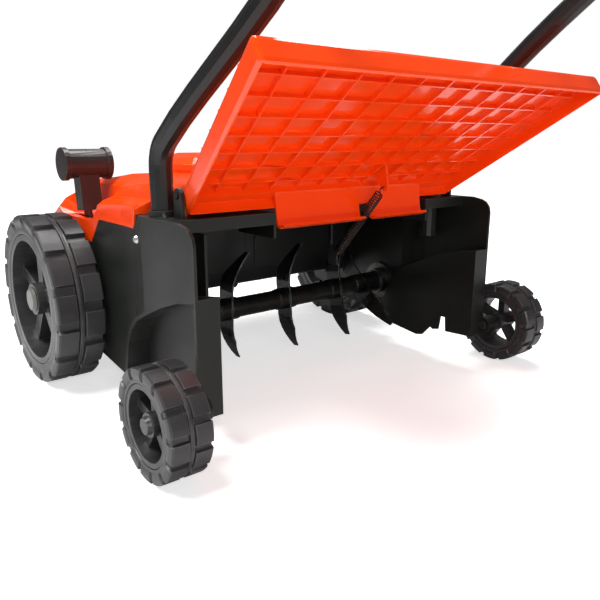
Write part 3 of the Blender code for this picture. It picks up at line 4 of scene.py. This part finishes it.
import bmesh
import bpy
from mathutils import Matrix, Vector


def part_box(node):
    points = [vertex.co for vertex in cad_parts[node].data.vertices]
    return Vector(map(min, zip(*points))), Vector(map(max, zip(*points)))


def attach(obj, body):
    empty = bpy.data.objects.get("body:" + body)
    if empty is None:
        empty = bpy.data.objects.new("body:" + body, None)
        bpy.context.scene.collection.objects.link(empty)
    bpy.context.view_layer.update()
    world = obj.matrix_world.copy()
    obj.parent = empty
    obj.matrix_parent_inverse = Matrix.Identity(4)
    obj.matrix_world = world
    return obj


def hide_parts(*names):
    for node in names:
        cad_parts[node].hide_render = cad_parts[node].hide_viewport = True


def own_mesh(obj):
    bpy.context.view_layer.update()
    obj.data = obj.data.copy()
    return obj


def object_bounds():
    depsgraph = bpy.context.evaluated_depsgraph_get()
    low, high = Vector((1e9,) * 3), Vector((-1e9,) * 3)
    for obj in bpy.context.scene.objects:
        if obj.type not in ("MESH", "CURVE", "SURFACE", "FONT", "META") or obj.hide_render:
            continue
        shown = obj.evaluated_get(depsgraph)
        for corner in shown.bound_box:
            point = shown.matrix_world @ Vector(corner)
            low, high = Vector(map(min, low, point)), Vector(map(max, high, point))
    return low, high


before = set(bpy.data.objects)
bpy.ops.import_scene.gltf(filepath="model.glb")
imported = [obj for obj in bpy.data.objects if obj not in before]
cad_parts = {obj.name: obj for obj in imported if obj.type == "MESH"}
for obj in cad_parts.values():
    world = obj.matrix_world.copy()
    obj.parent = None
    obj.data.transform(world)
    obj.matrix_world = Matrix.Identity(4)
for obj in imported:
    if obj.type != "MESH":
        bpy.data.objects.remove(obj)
cad_low, cad_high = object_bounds()

# ---------------------------------------------------------------- studio
# A plain pale floor that runs off into a white room, one broad soft key light
# over the left side, a weaker fill behind the flap and a strip over the hood.
CAMERA_PLACE = Vector((-0.4737, -0.23297, 0.2851))
CAMERA_TURN = math.radians(39.1)
CAMERA_TILT = math.radians(14.29)
LENS_MM = 37.9
CLIP_START = 0.02
ROOM_LIGHT = 0.12       # what the white room gives the object
ROOM_SEEN = 1.0         # how bright the room itself looks
FLOOR_HALF = 14
FLOOR_GAP = 0.0004      # keeps the floor clear of the tyres
FLOOR_WHITES = ((0.9, 0.9, 0.9, 1), (0.94, 0.94, 0.94, 1))
FLOOR_GLOW = (0.6, 1.0) # close by, and far away
GLOW_REACH = (0.8, 3.0)


def aim(thing, place, target):
    """Puts a camera or a light at a place, looking at a target."""
    thing.location = place
    thing.rotation_euler = (Vector(target) - Vector(place)).to_track_quat("-Z", "Y").to_euler()
    bpy.context.scene.collection.objects.link(thing)


camera_data = bpy.data.cameras.new("studio_camera")
camera_data.lens = LENS_MM
camera_data.clip_start = CLIP_START
camera = bpy.data.objects.new("studio_camera", camera_data)
level = math.cos(CAMERA_TILT)
look = Vector((math.sin(CAMERA_TURN) * level, math.cos(CAMERA_TURN) * level, -math.sin(CAMERA_TILT)))
aim(camera, CAMERA_PLACE, CAMERA_PLACE + look)
bpy.context.scene.camera = camera

for light_name, place, target, size, watts in (
        ("key_light", (-1.0, 0.5, 2.1), (0, 0.3, 0.1), 1.0, 58),
        ("fill_light", (-0.9, -1.6, 0.9), (0, 0.3, 0.25), 0.9, 19),
        ("strip_light", (0.7, 0.9, 2.0), (0, 0.3, 0.0), 1.2, 40)):
    light_data = bpy.data.lights.new(light_name, "AREA")
    light_data.size = size
    light_data.energy = watts
    aim(bpy.data.objects.new(light_name, light_data), place, target)


def new_material(name):
    """Empty node material with a Principled shader on its output."""
    material = bpy.data.materials.new(name)
    material.use_nodes = True
    tree = material.node_tree
    tree.nodes.clear()
    shader = tree.nodes.new("ShaderNodeBsdfPrincipled")
    output = tree.nodes.new("ShaderNodeOutputMaterial")
    tree.links.new(shader.outputs[0], output.inputs[0])
    return material, tree, shader


def put(tree, kind, inputs=(), **settings):
    """Adds one node, sets its properties, and fills its inputs with values or links."""
    made = tree.nodes.new(kind)
    for key, value in settings.items():
        setattr(made, key, value)
    for key, value in dict(inputs).items():
        if isinstance(value, bpy.types.NodeSocket):
            tree.links.new(value, made.inputs[key])
        else:
            made.inputs[key].default_value = value
    return made


def mix_colour(tree, factor, under, over):
    """Blends two colours by a mask."""
    made = tree.nodes.new("ShaderNodeMix")
    made.data_type = "RGBA"
    for socket, value in ((made.inputs[0], factor), (made.inputs[6], under), (made.inputs[7], over)):
        if isinstance(value, bpy.types.NodeSocket):
            tree.links.new(value, socket)
        else:
            socket.default_value = value
    return made.outputs[2]


world = bpy.data.worlds.new("white_room")
world.use_nodes = True
room = world.node_tree.nodes["Background"]
room.inputs[0].default_value = (1, 1, 1, 1)
seen = put(world.node_tree, "ShaderNodeLightPath").outputs["Is Camera Ray"]
room_light = put(world.node_tree, "ShaderNodeMapRange",
                 {"Value": seen, "To Min": ROOM_LIGHT, "To Max": ROOM_SEEN})
world.node_tree.links.new(room_light.outputs[0], room.inputs[1])
bpy.context.scene.world = world
bpy.context.scene.view_settings.view_transform = "Standard"

floor_material, tree, shader = new_material("pale_floor")
mottle = put(tree, "ShaderNodeTexNoise", {"Scale": 3.0, "Detail": 4.0})
tree.links.new(mix_colour(tree, mottle.outputs[0], *FLOOR_WHITES), shader.inputs["Base Color"])
shader.inputs["Roughness"].default_value = 0.38
shader.inputs["Specular IOR Level"].default_value = 0.3
shader.inputs["Emission Color"].default_value = (1, 1, 1, 1)
seen = put(tree, "ShaderNodeLightPath").outputs["Is Camera Ray"]
place = put(tree, "ShaderNodeNewGeometry").outputs["Position"]
away = put(tree, "ShaderNodeVectorMath", {0: place}, operation="LENGTH").outputs["Value"]
fade = put(tree, "ShaderNodeMapRange", {"Value": away, "From Min": GLOW_REACH[0], "From Max": GLOW_REACH[1],
                                        "To Min": FLOOR_GLOW[0], "To Max": FLOOR_GLOW[1]}).outputs[0]
glow = put(tree, "ShaderNodeMath", {0: seen, 1: fade}, operation="MULTIPLY")
tree.links.new(glow.outputs[0], shader.inputs["Emission Strength"])
floor_mesh = bmesh.new()
bmesh.ops.create_grid(floor_mesh, x_segments=4, y_segments=4, size=FLOOR_HALF)
floor_data = bpy.data.meshes.new("floor")
floor_mesh.to_mesh(floor_data)
floor_mesh.free()
floor = bpy.data.objects.new("floor", floor_data)
floor.location.z = cad_low.z - FLOOR_GAP
floor_data.materials.append(floor_material)
bpy.context.scene.collection.objects.link(floor)


# ---------------------------------------------------------------- chassis mouldings
# Two side panels, the roof and walls of the blade tunnel and the motor tray, moulded
# in black polypropylene with a fine spark texture. They clip and screw together.
def start_group(name, inputs, outputs):
    """Empty node group with its sockets, and its two end nodes."""
    group = bpy.data.node_groups.new(name, "ShaderNodeTree")
    for label, kind, value in inputs:
        socket = group.interface.new_socket(label, in_out="INPUT", socket_type=kind)
        socket.default_value = value
    for label, kind in outputs:
        group.interface.new_socket(label, in_out="OUTPUT", socket_type=kind)
    return group, group.nodes.new("NodeGroupInput"), group.nodes.new("NodeGroupOutput")


FLOAT = "NodeSocketFloat"

mould_grain, given, result = start_group(
    "mould_grain", (("Grain Scale", FLOAT, 900.0), ("Cloud Scale", FLOAT, 14.0)),
    (("Height", FLOAT), ("Clouds", FLOAT), ("Speckle", FLOAT)))
place = put(mould_grain, "ShaderNodeTexCoord").outputs["Object"]
spark = put(mould_grain, "ShaderNodeTexVoronoi", {"Vector": place, "Scale": given.outputs["Grain Scale"]})
fine = put(mould_grain, "ShaderNodeTexNoise",
           {"Vector": place, "Scale": given.outputs["Grain Scale"], "Detail": 3.0})
clouds = put(mould_grain, "ShaderNodeTexNoise",
             {"Vector": place, "Scale": given.outputs["Cloud Scale"], "Detail": 6.0, "Roughness": 0.6})
both = put(mould_grain, "ShaderNodeMath", {0: spark.outputs["Distance"], 1: fine.outputs[0]}, operation="ADD")
mould_grain.links.new(both.outputs[0], result.inputs["Height"])
mould_grain.links.new(clouds.outputs[0], result.inputs["Clouds"])
mould_grain.links.new(fine.outputs[0], result.inputs["Speckle"])

# Lighter edges: rubbed wear on most finishes, but on the glossy orange the lighter edge colour is a painted
# highlight.
edge_wear_and_sheen, given, result = start_group(
    "edge_wear_and_sheen", (("Width", FLOAT, 0.0012), ("Patchiness", FLOAT, 60.0), ("Amount", FLOAT, 0.6)),
    (("Mask", FLOAT),))
rounded = put(edge_wear_and_sheen, "ShaderNodeBevel", {"Radius": given.outputs["Width"]}, samples=6)
facing = put(edge_wear_and_sheen, "ShaderNodeNewGeometry")
turn = put(edge_wear_and_sheen, "ShaderNodeVectorMath",
           {0: rounded.outputs[0], 1: facing.outputs["Normal"]}, operation="DOT_PRODUCT")
edge = put(edge_wear_and_sheen, "ShaderNodeMapRange",
           {"Value": turn.outputs["Value"], "From Min": 0.985, "From Max": 0.86})
place = put(edge_wear_and_sheen, "ShaderNodeTexCoord").outputs["Object"]
patches = put(edge_wear_and_sheen, "ShaderNodeTexNoise",
              {"Vector": place, "Scale": given.outputs["Patchiness"], "Detail": 5.0})
broken = put(edge_wear_and_sheen, "ShaderNodeMapRange",
             {"Value": patches.outputs[0], "From Min": 0.38, "From Max": 0.6})
wear_and_sheen = put(edge_wear_and_sheen, "ShaderNodeMath", {0: edge.outputs[0], 1: broken.outputs[0]}, operation="MULTIPLY")
wear_and_sheen = put(edge_wear_and_sheen, "ShaderNodeMath",
           {0: wear_and_sheen.outputs[0], 1: given.outputs["Amount"]}, operation="MULTIPLY")
edge_wear_and_sheen.links.new(wear_and_sheen.outputs[0], result.inputs["Mask"])

settled_dust, given, result = start_group(
    "settled_dust", (("Amount", FLOAT, 0.2), ("Scale", FLOAT, 30.0)), (("Mask", FLOAT),))
facing = put(settled_dust, "ShaderNodeNewGeometry")
upward = put(settled_dust, "ShaderNodeSeparateXYZ", {0: facing.outputs["Normal"]})
lying = put(settled_dust, "ShaderNodeMapRange",
            {"Value": upward.outputs[2], "From Min": 0.2, "From Max": 1.0})
place = put(settled_dust, "ShaderNodeTexCoord").outputs["Object"]
drift = put(settled_dust, "ShaderNodeTexNoise",
            {"Vector": place, "Scale": given.outputs["Scale"], "Detail": 8.0, "Roughness": 0.7})
thick = put(settled_dust, "ShaderNodeMapRange",
            {"Value": drift.outputs[0], "From Min": 0.42, "From Max": 0.75})
film = put(settled_dust, "ShaderNodeMath", {0: lying.outputs[0], 1: thick.outputs[0]}, operation="MULTIPLY")
film = put(settled_dust, "ShaderNodeMath",
           {0: film.outputs[0], 1: given.outputs["Amount"]}, operation="MULTIPLY")
settled_dust.links.new(film.outputs[0], result.inputs["Mask"])


def use_group(tree, group, **inputs):
    """Places a shared effect in a material, with the material's own values."""
    made = tree.nodes.new("ShaderNodeGroup")
    made.node_tree = group
    for key, value in inputs.items():
        made.inputs[key.replace("_", " ")].default_value = value
    return made


DUST_COLOUR = (0.30, 0.28, 0.24, 1)
CLOUD_SPAN = (0.3, 0.7)     # the part of the clouds that the roughness follows
GRAIN_STRENGTH = 0.5
COAT_ROUGHNESS = 0.08


def surface(name, colour, shade, gloss, grain=900.0, depth=0.00004, cloud=14.0, wear_and_sheen=(0.3, 0.3, 0.3), wear_and_sheen_amount=0.4,
            width=0.001, dust=0.15, metal=0.0, coat=0.0, specular=0.5):
    """Finish with clouded colour, moulded or cast grain, lighter edges and a film of dust. The lighter edges
    are rubbed wear on most finishes and a painted highlight on the glossy orange.
    gloss is the lowest and highest roughness."""
    material, tree, shader = new_material(name)
    grains = use_group(tree, mould_grain, Grain_Scale=grain, Cloud_Scale=cloud)
    edges = use_group(tree, edge_wear_and_sheen, Width=width, Amount=wear_and_sheen_amount)
    film = use_group(tree, settled_dust, Amount=dust)
    tone = mix_colour(tree, grains.outputs["Clouds"], (*shade, 1), (*colour, 1))
    tone = mix_colour(tree, edges.outputs["Mask"], tone, (*wear_and_sheen, 1))
    tone = mix_colour(tree, film.outputs["Mask"], tone, DUST_COLOUR)
    rough = put(tree, "ShaderNodeMapRange", {"Value": grains.outputs["Clouds"], "From Min": CLOUD_SPAN[0],
                                             "From Max": CLOUD_SPAN[1],
                                             "To Min": gloss[0], "To Max": gloss[1]})
    bump = put(tree, "ShaderNodeBump", {"Height": grains.outputs["Height"], "Distance": depth,
                                       "Strength": GRAIN_STRENGTH})
    tree.links.new(tone, shader.inputs["Base Color"])
    tree.links.new(rough.outputs[0], shader.inputs["Roughness"])
    tree.links.new(bump.outputs[0], shader.inputs["Normal"])
    shader.inputs["Metallic"].default_value = metal
    shader.inputs["Coat Weight"].default_value = coat
    shader.inputs["Coat Roughness"].default_value = COAT_ROUGHNESS
    shader.inputs["Specular IOR Level"].default_value = specular
    return material


WELD_GAP = 0.00002
SHARP_TURN = math.radians(32)


def dress(material, names, edge=0.0007, steps=2):
    """Gives carried-over parts their finish and a small moulded edge radius."""
    for part in names:
        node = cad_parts[part]
        node.data.materials.clear()
        node.data.materials.append(material)
        if edge:
            weld = node.modifiers.new("weld", "WELD")
            weld.merge_threshold = WELD_GAP
            bevel = node.modifiers.new("edge_radius", "BEVEL")
            bevel.width = edge
            bevel.segments = steps
            bevel.limit_method = "ANGLE"
            bevel.angle_limit = SHARP_TURN
            bevel.harden_normals = True


chassis_black = surface("chassis_black", (0.0095, 0.0115, 0.009), (0.005, 0.006, 0.005), (0.34, 0.5),
                        grain=1400, depth=0.00005, wear_and_sheen=(0.085, 0.09, 0.078), wear_and_sheen_amount=0.4, width=0.0018, dust=0.04,
                        specular=0.38)
dress(chassis_black, ["left_side_panel", "right_side_panel"], edge=0.0009, steps=3)
dress(chassis_black, ["tunnel_roof", "motor_tray", "belt_wall"], edge=0.0006)
tunnel_black = surface("tunnel_black", (0.012, 0.0145, 0.0125), (0.005, 0.006, 0.006), (0.3, 0.6), grain=700,
                       depth=0.00009, wear_and_sheen=(0.07, 0.08, 0.07), wear_and_sheen_amount=0.3, dust=0.25)
dress(tunnel_black, ["tunnel_front_wall"], edge=0.0006)

# ---------------------------------------------------------------- steel fittings
# Zinc-plated screws, stub axles, the hinge rod and the rotor's bearings, turned or
# pressed from steel. The hinge rod and the spring's bracket are blackened.
bright_zinc = surface("bright_zinc", (0.62, 0.61, 0.58), (0.42, 0.41, 0.39), (0.22, 0.42), grain=2200,
                      depth=0.00002, cloud=70, wear_and_sheen=(0.8, 0.8, 0.78), wear_and_sheen_amount=0.5,
                      width=0.0006, dust=0.1, metal=1.0)
dress(bright_zinc, ["left_panel_screw", "right_panel_screw"], edge=0.0004)
dull_steel = surface("dull_steel", (0.16, 0.155, 0.15), (0.07, 0.07, 0.068), (0.32, 0.55), grain=1600,
                     depth=0.00004, cloud=60, wear_and_sheen=(0.5, 0.49, 0.47), wear_and_sheen_amount=0.6,
                     width=0.0009, dust=0.2, metal=1.0)
dress(dull_steel, ["rear_stub_left", "rear_stub_right", "bearing_carrier", "rotor_bearing_left",
                   "rotor_bearing_right", "front_axle", "motor_shaft"], edge=0.0004)
dark_rod = surface("dark_rod", (0.03, 0.03, 0.029), (0.015, 0.015, 0.015), (0.3, 0.5), grain=1600, cloud=50,
                   wear_and_sheen=(0.3, 0.3, 0.29), wear_and_sheen_amount=0.5, dust=0.1, metal=0.8)
dress(dark_rod, ["flap_hinge_rod", "spring_bracket"], edge=0.0004)

# ---------------------------------------------------------------- rotor
# A steel shaft carries five pressed, bent blades held apart by sleeves. All are
# blackened, with the cutting edges rubbed bright by the soil.
blade_black = surface("blade_black", (0.036, 0.037, 0.034), (0.014, 0.014, 0.014), (0.22, 0.45), grain=1200,
                      depth=0.00006, cloud=45, wear_and_sheen=(0.55, 0.54, 0.51), wear_and_sheen_amount=0.9,
                      width=0.0014, dust=0.08, metal=0.85)
dress(blade_black, [f"rotor_blade_{i}" for i in range(1, 6)], edge=0.0004)
dress(blade_black, [f"rotor_sleeve_{i}" for i in range(1, 5)] + ["rotor_shaft"], edge=0.0005)

# ---------------------------------------------------------------- drive
# A cast motor casing lies in the tray and turns the rotor through a toothed rubber
# belt and two moulded pulleys. The fan is moulded nylon.
motor_grey = surface("motor_grey", (0.27, 0.28, 0.29), (0.18, 0.19, 0.2), (0.4, 0.6), grain=500, depth=0.0002,
                     cloud=20, wear_and_sheen=(0.6, 0.6, 0.6), wear_and_sheen_amount=0.5, dust=0.35, metal=0.6)
dress(motor_grey, ["motor_body"], edge=0.0006)
belt_rubber = surface("belt_rubber", (0.022, 0.022, 0.023), (0.012, 0.012, 0.012), (0.6, 0.85), grain=1500,
                      depth=0.0001, wear_and_sheen=(0.08, 0.08, 0.08), wear_and_sheen_amount=0.3, dust=0.3)
dress(belt_rubber, ["drive_belt"], edge=0)
knob_black = surface("knob_black", (0.026, 0.018, 0.017), (0.013, 0.009, 0.009), (0.30, 0.44), grain=1500,
                     depth=0.00004, wear_and_sheen=(0.12, 0.10, 0.09), wear_and_sheen_amount=0.35, width=0.0012, dust=0.08)
dress(knob_black, ["motor_pulley", "rotor_pulley", "cooling_fan"], edge=0.0004)

# ---------------------------------------------------------------- wheels
# Each wheel is a spoked disc with a tread ring, both moulded in one hard dark grey
# plastic. Two rows of blocks stand staggered each side of a smooth middle band.
wheel_grey = surface("wheel_grey", (0.036, 0.034, 0.035), (0.021, 0.020, 0.022), (0.30, 0.44), grain=1300,
                     depth=0.00005, cloud=18, wear_and_sheen=(0.15, 0.145, 0.14), wear_and_sheen_amount=0.6, width=0.0018, dust=0.05)
TREAD_SHARE = 0.80      # share of the pitch that a block fills
RAMP_SHARE = 0.045      # share of the pitch that its sloping side takes
SIDE_RELIEF = 0.0016    # how far the shoulder sinks between two blocks
RIM_GAP = 0.0003
TREAD_CREASE = math.radians(28)


def block_height(turn):
    """1 on a block, 0 in a groove, and a slope between, at this share of a pitch."""
    turn %= 1.0
    rise = min(turn, TREAD_SHARE - turn) / RAMP_SHARE
    return max(0.0, min(1.0, rise))


def block_breaks(offset):
    """The shares of a pitch at which one row's surface changes slope."""
    return [(offset + at) % 1.0 for at in (0.0, RAMP_SHARE, TREAD_SHARE - RAMP_SHARE, TREAD_SHARE)]


def tread_ring(name, node, rim, body, blocks, groove):
    """Closed ring of tread with two staggered rows of blocks that wrap over the shoulders."""
    low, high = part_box(node)
    rim_low, rim_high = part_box(rim)
    middle = (low + high) / 2
    radius, half = (high.z - low.z) / 2, (high.x - low.x) / 2
    bore = (rim_high.z - rim_low.z) / 2 + RIM_GAP
    wall = radius - bore
    # across the tread: place over the half width, radius, share of the groove, share of the side relief
    side = [(0.86, bore, 0, 0), (0.93, bore + 0.0006, 0, 0), (0.955, bore + 0.16 * wall, 0, 0),
            (0.94, bore + 0.28 * wall, 0, 0), (0.95, radius - 0.0105, 0, 0), (0.985, radius - 0.0085, 0, 1),
            (1.0, radius - 0.005, 0.3, 1), (0.97, radius - 0.0012, 0.9, 1), (0.91, radius, 1, 0),
            (0.17, radius, 1, 0), (0.145, radius - 0.0006, 1, 0), (0.12, radius - groove, 0, 0),
            (0.085, radius - 0.0014, 0, 0), (0.022, radius - 0.0012, 0, 0), (0.012, radius - 0.0006, 0, 0)]
    across = [(-u, r, g, s, 0) for u, r, g, s in side] + [(u, r, g, s, 0.5) for u, r, g, s in reversed(side)]
    shares = sorted(set(round(t, 5) for t in block_breaks(0.0) + block_breaks(0.5)))
    mesh = bmesh.new()
    rings = []
    for block in range(blocks):
        for share in shares:
            angle = 2 * math.pi * (block + share) / blocks
            ring = []
            for u, r, g, s, offset in across:
                low_here = 1 - block_height(share - offset)
                out = r - g * groove * low_here
                x = math.copysign(abs(u) * half - s * SIDE_RELIEF * low_here, u)
                ring.append(mesh.verts.new(middle + Vector((x, out * math.sin(angle), out * math.cos(angle)))))
            rings.append(ring)
    for here, after in zip(rings, rings[1:] + rings[:1]):
        for i in range(len(here)):
            j = (i + 1) % len(here)
            mesh.faces.new((here[i], here[j], after[j], after[i]))
    bmesh.ops.recalc_face_normals(mesh, faces=mesh.faces)
    data = bpy.data.meshes.new(name)
    mesh.to_mesh(data)
    mesh.free()
    data.materials.append(wheel_grey)
    data.shade_smooth()
    data.set_sharp_from_angle(angle=TREAD_CREASE)
    ring = bpy.data.objects.new(name, data)
    bpy.context.scene.collection.objects.link(ring)
    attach(ring, body)
    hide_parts(node)


for end, blocks, groove in (("front", 15, 0.0048), ("rear", 13, 0.0032)):
    for side in ("left", "right"):
        body = f"{end}_wheel_{side}"
        tread_ring(f"{body}_tread", f"{body}_tyre", f"{body}_rim", body, blocks, groove)
        dress(wheel_grey, [f"{body}_rim"], edge=0.0012, steps=3)
cap_grey = surface("cap_grey", (0.15, 0.145, 0.135), (0.11, 0.105, 0.10), (0.3, 0.42), grain=1500,
                   wear_and_sheen=(0.2, 0.2, 0.19), wear_and_sheen_amount=0.3, dust=0.1)
dress(cap_grey, ["front_wheel_left_cap", "front_wheel_right_cap"], edge=0.0008, steps=3)

# ---------------------------------------------------------------- height adjuster
# A moulded lever turns the cranked front axle. It carries a T-shaped knob that is
# pulled out of its notch and set over to raise or drop the rotor.
dress(knob_black, ["height_lever"], edge=0.0008)
dress(knob_black, ["height_knob"], edge=0.0012, steps=3)

# ---------------------------------------------------------------- hood and flap
# The hood, its vented motor cover and the rear flap are glossy orange ABS. The flap
# hangs on a steel rod and is stiffened underneath by a grid of ribs.
# The paler orange given for the edges is a painted highlight along the edges of the hood, cover, flap and
# button, not wear.
gloss_orange = surface("gloss_orange", (0.97, 0.066, 0.002), (0.90, 0.047, 0.0015), (0.14, 0.24), grain=500,
                       depth=0.000012, cloud=9, wear_and_sheen=(0.98, 0.2, 0.04), wear_and_sheen_amount=0.5, width=0.0014, dust=0.0,
                       coat=0.25, specular=0.4)
dress(gloss_orange, ["hood", "motor_cover"], edge=0.0012, steps=3)
dress(gloss_orange, ["flap"], edge=0.0005)
dress(gloss_orange, ["lock_button"], edge=0.0008, steps=3)

# ---------------------------------------------------------------- flap spring
# A close-wound tension spring in dark oiled wire, hooked to the bracket below and to
# the flap's gusset above. It shortens as the flap comes down.
SPRING_LOW = Vector((0.036, 0.327333, 0.146))
SPRING_ALONG = Vector((0, -0.66, 0.75)).normalized()
SPRING_LENGTH = 0.118
SPRING_COIL = 0.0054
SPRING_WIRE = 0.0008
HOOK_LENGTH = 0.009
HOOK_BOW = 0.0022
HOOK_STEPS = 6
TURNS = 31
TURN_STEPS = 12
SPRING_SIDES = 8


def wire(name, points, radius, sides, material):
    """Round wire swept along a line of points, with closed ends."""
    mesh = bmesh.new()
    rings = []
    across = Vector((1, 0, 0))
    for i, point in enumerate(points):
        ahead = (points[min(i + 1, len(points) - 1)] - points[max(i - 1, 0)]).normalized()
        across = (across - ahead * across.dot(ahead)).normalized()
        up = ahead.cross(across)
        rings.append([mesh.verts.new(point + (across * math.cos(a) + up * math.sin(a)) * radius)
                      for a in (2 * math.pi * k / sides for k in range(sides))])
    for here, after in zip(rings, rings[1:]):
        for k in range(sides):
            mesh.faces.new((here[k], here[(k + 1) % sides], after[(k + 1) % sides], after[k]))
    mesh.faces.new(rings[0][::-1])
    mesh.faces.new(rings[-1])
    bmesh.ops.recalc_face_normals(mesh, faces=mesh.faces)
    data = bpy.data.meshes.new(name)
    mesh.to_mesh(data)
    mesh.free()
    data.materials.append(material)
    data.shade_smooth()
    made = bpy.data.objects.new(name, data)
    bpy.context.scene.collection.objects.link(made)
    return made


spring_steel = surface("spring_steel", (0.075, 0.062, 0.055), (0.035, 0.028, 0.025), (0.28, 0.45), grain=2500,
                       cloud=60, wear_and_sheen=(0.2, 0.19, 0.18), wear_and_sheen_amount=0.2, width=0.0004, dust=0.05, metal=0.9)
side_way = Vector((1, 0, 0))
other_way = SPRING_ALONG.cross(side_way)
bow = [HOOK_BOW * math.sin(step / HOOK_STEPS * math.pi) for step in range(HOOK_STEPS + 1)]
coil = []
for step in range(HOOK_STEPS):
    coil.append(SPRING_LOW + SPRING_ALONG * HOOK_LENGTH * step / HOOK_STEPS + other_way * bow[step])
last_step = TURNS * TURN_STEPS
for step in range(last_step + 1):
    grow = min(1.0, step / TURN_STEPS * 2, (last_step - step) / TURN_STEPS * 2)
    angle = 2 * math.pi * step / TURN_STEPS
    up_spring = HOOK_LENGTH + (SPRING_LENGTH - 2 * HOOK_LENGTH) * step / last_step
    out = side_way * math.cos(angle) + other_way * math.sin(angle)
    coil.append(SPRING_LOW + SPRING_ALONG * up_spring + out * (SPRING_COIL - SPRING_WIRE) * grow)
for step in range(1, HOOK_STEPS + 1):
    up_spring = SPRING_LENGTH - HOOK_LENGTH * (1 - step / HOOK_STEPS)
    coil.append(SPRING_LOW + SPRING_ALONG * up_spring + other_way * bow[step])
spring = wire("spring_coil", coil, SPRING_WIRE, SPRING_SIDES, spring_steel)
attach(spring, "spring_body")
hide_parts("flap_spring")
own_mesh(spring)

# ---------------------------------------------------------------- handle
# Two lower tubes and a hooped upper tube in powder-coated steel, clamped by moulded
# wing knobs. Foam covers the grip, and a rod bail switches the motor.
powder_black = surface("powder_black", (0.013, 0.013, 0.0125), (0.008, 0.008, 0.008), (0.26, 0.38), grain=420,
                       depth=0.00007, cloud=12, wear_and_sheen=(0.16, 0.16, 0.15), wear_and_sheen_amount=0.3, dust=0.04, specular=0.35)
dress(powder_black, ["lower_handle_left", "lower_handle_right", "upper_handle", "bail_lever"], edge=0)
dress(knob_black, ["clamp_knob_left", "clamp_knob_right", "bail_clip_left", "bail_clip_right", "switch_box",
                   "plug_inlet"], edge=0.0008, steps=2)
foam_black = surface("foam_black", (0.022, 0.022, 0.022), (0.013, 0.013, 0.013), (0.75, 0.95), grain=1500,
                     depth=0.0004, cloud=30, wear_and_sheen=(0.05, 0.05, 0.05), wear_and_sheen_amount=0.2, dust=0.2)
dress(foam_black, ["grip_sleeve"], edge=0.001, steps=3)
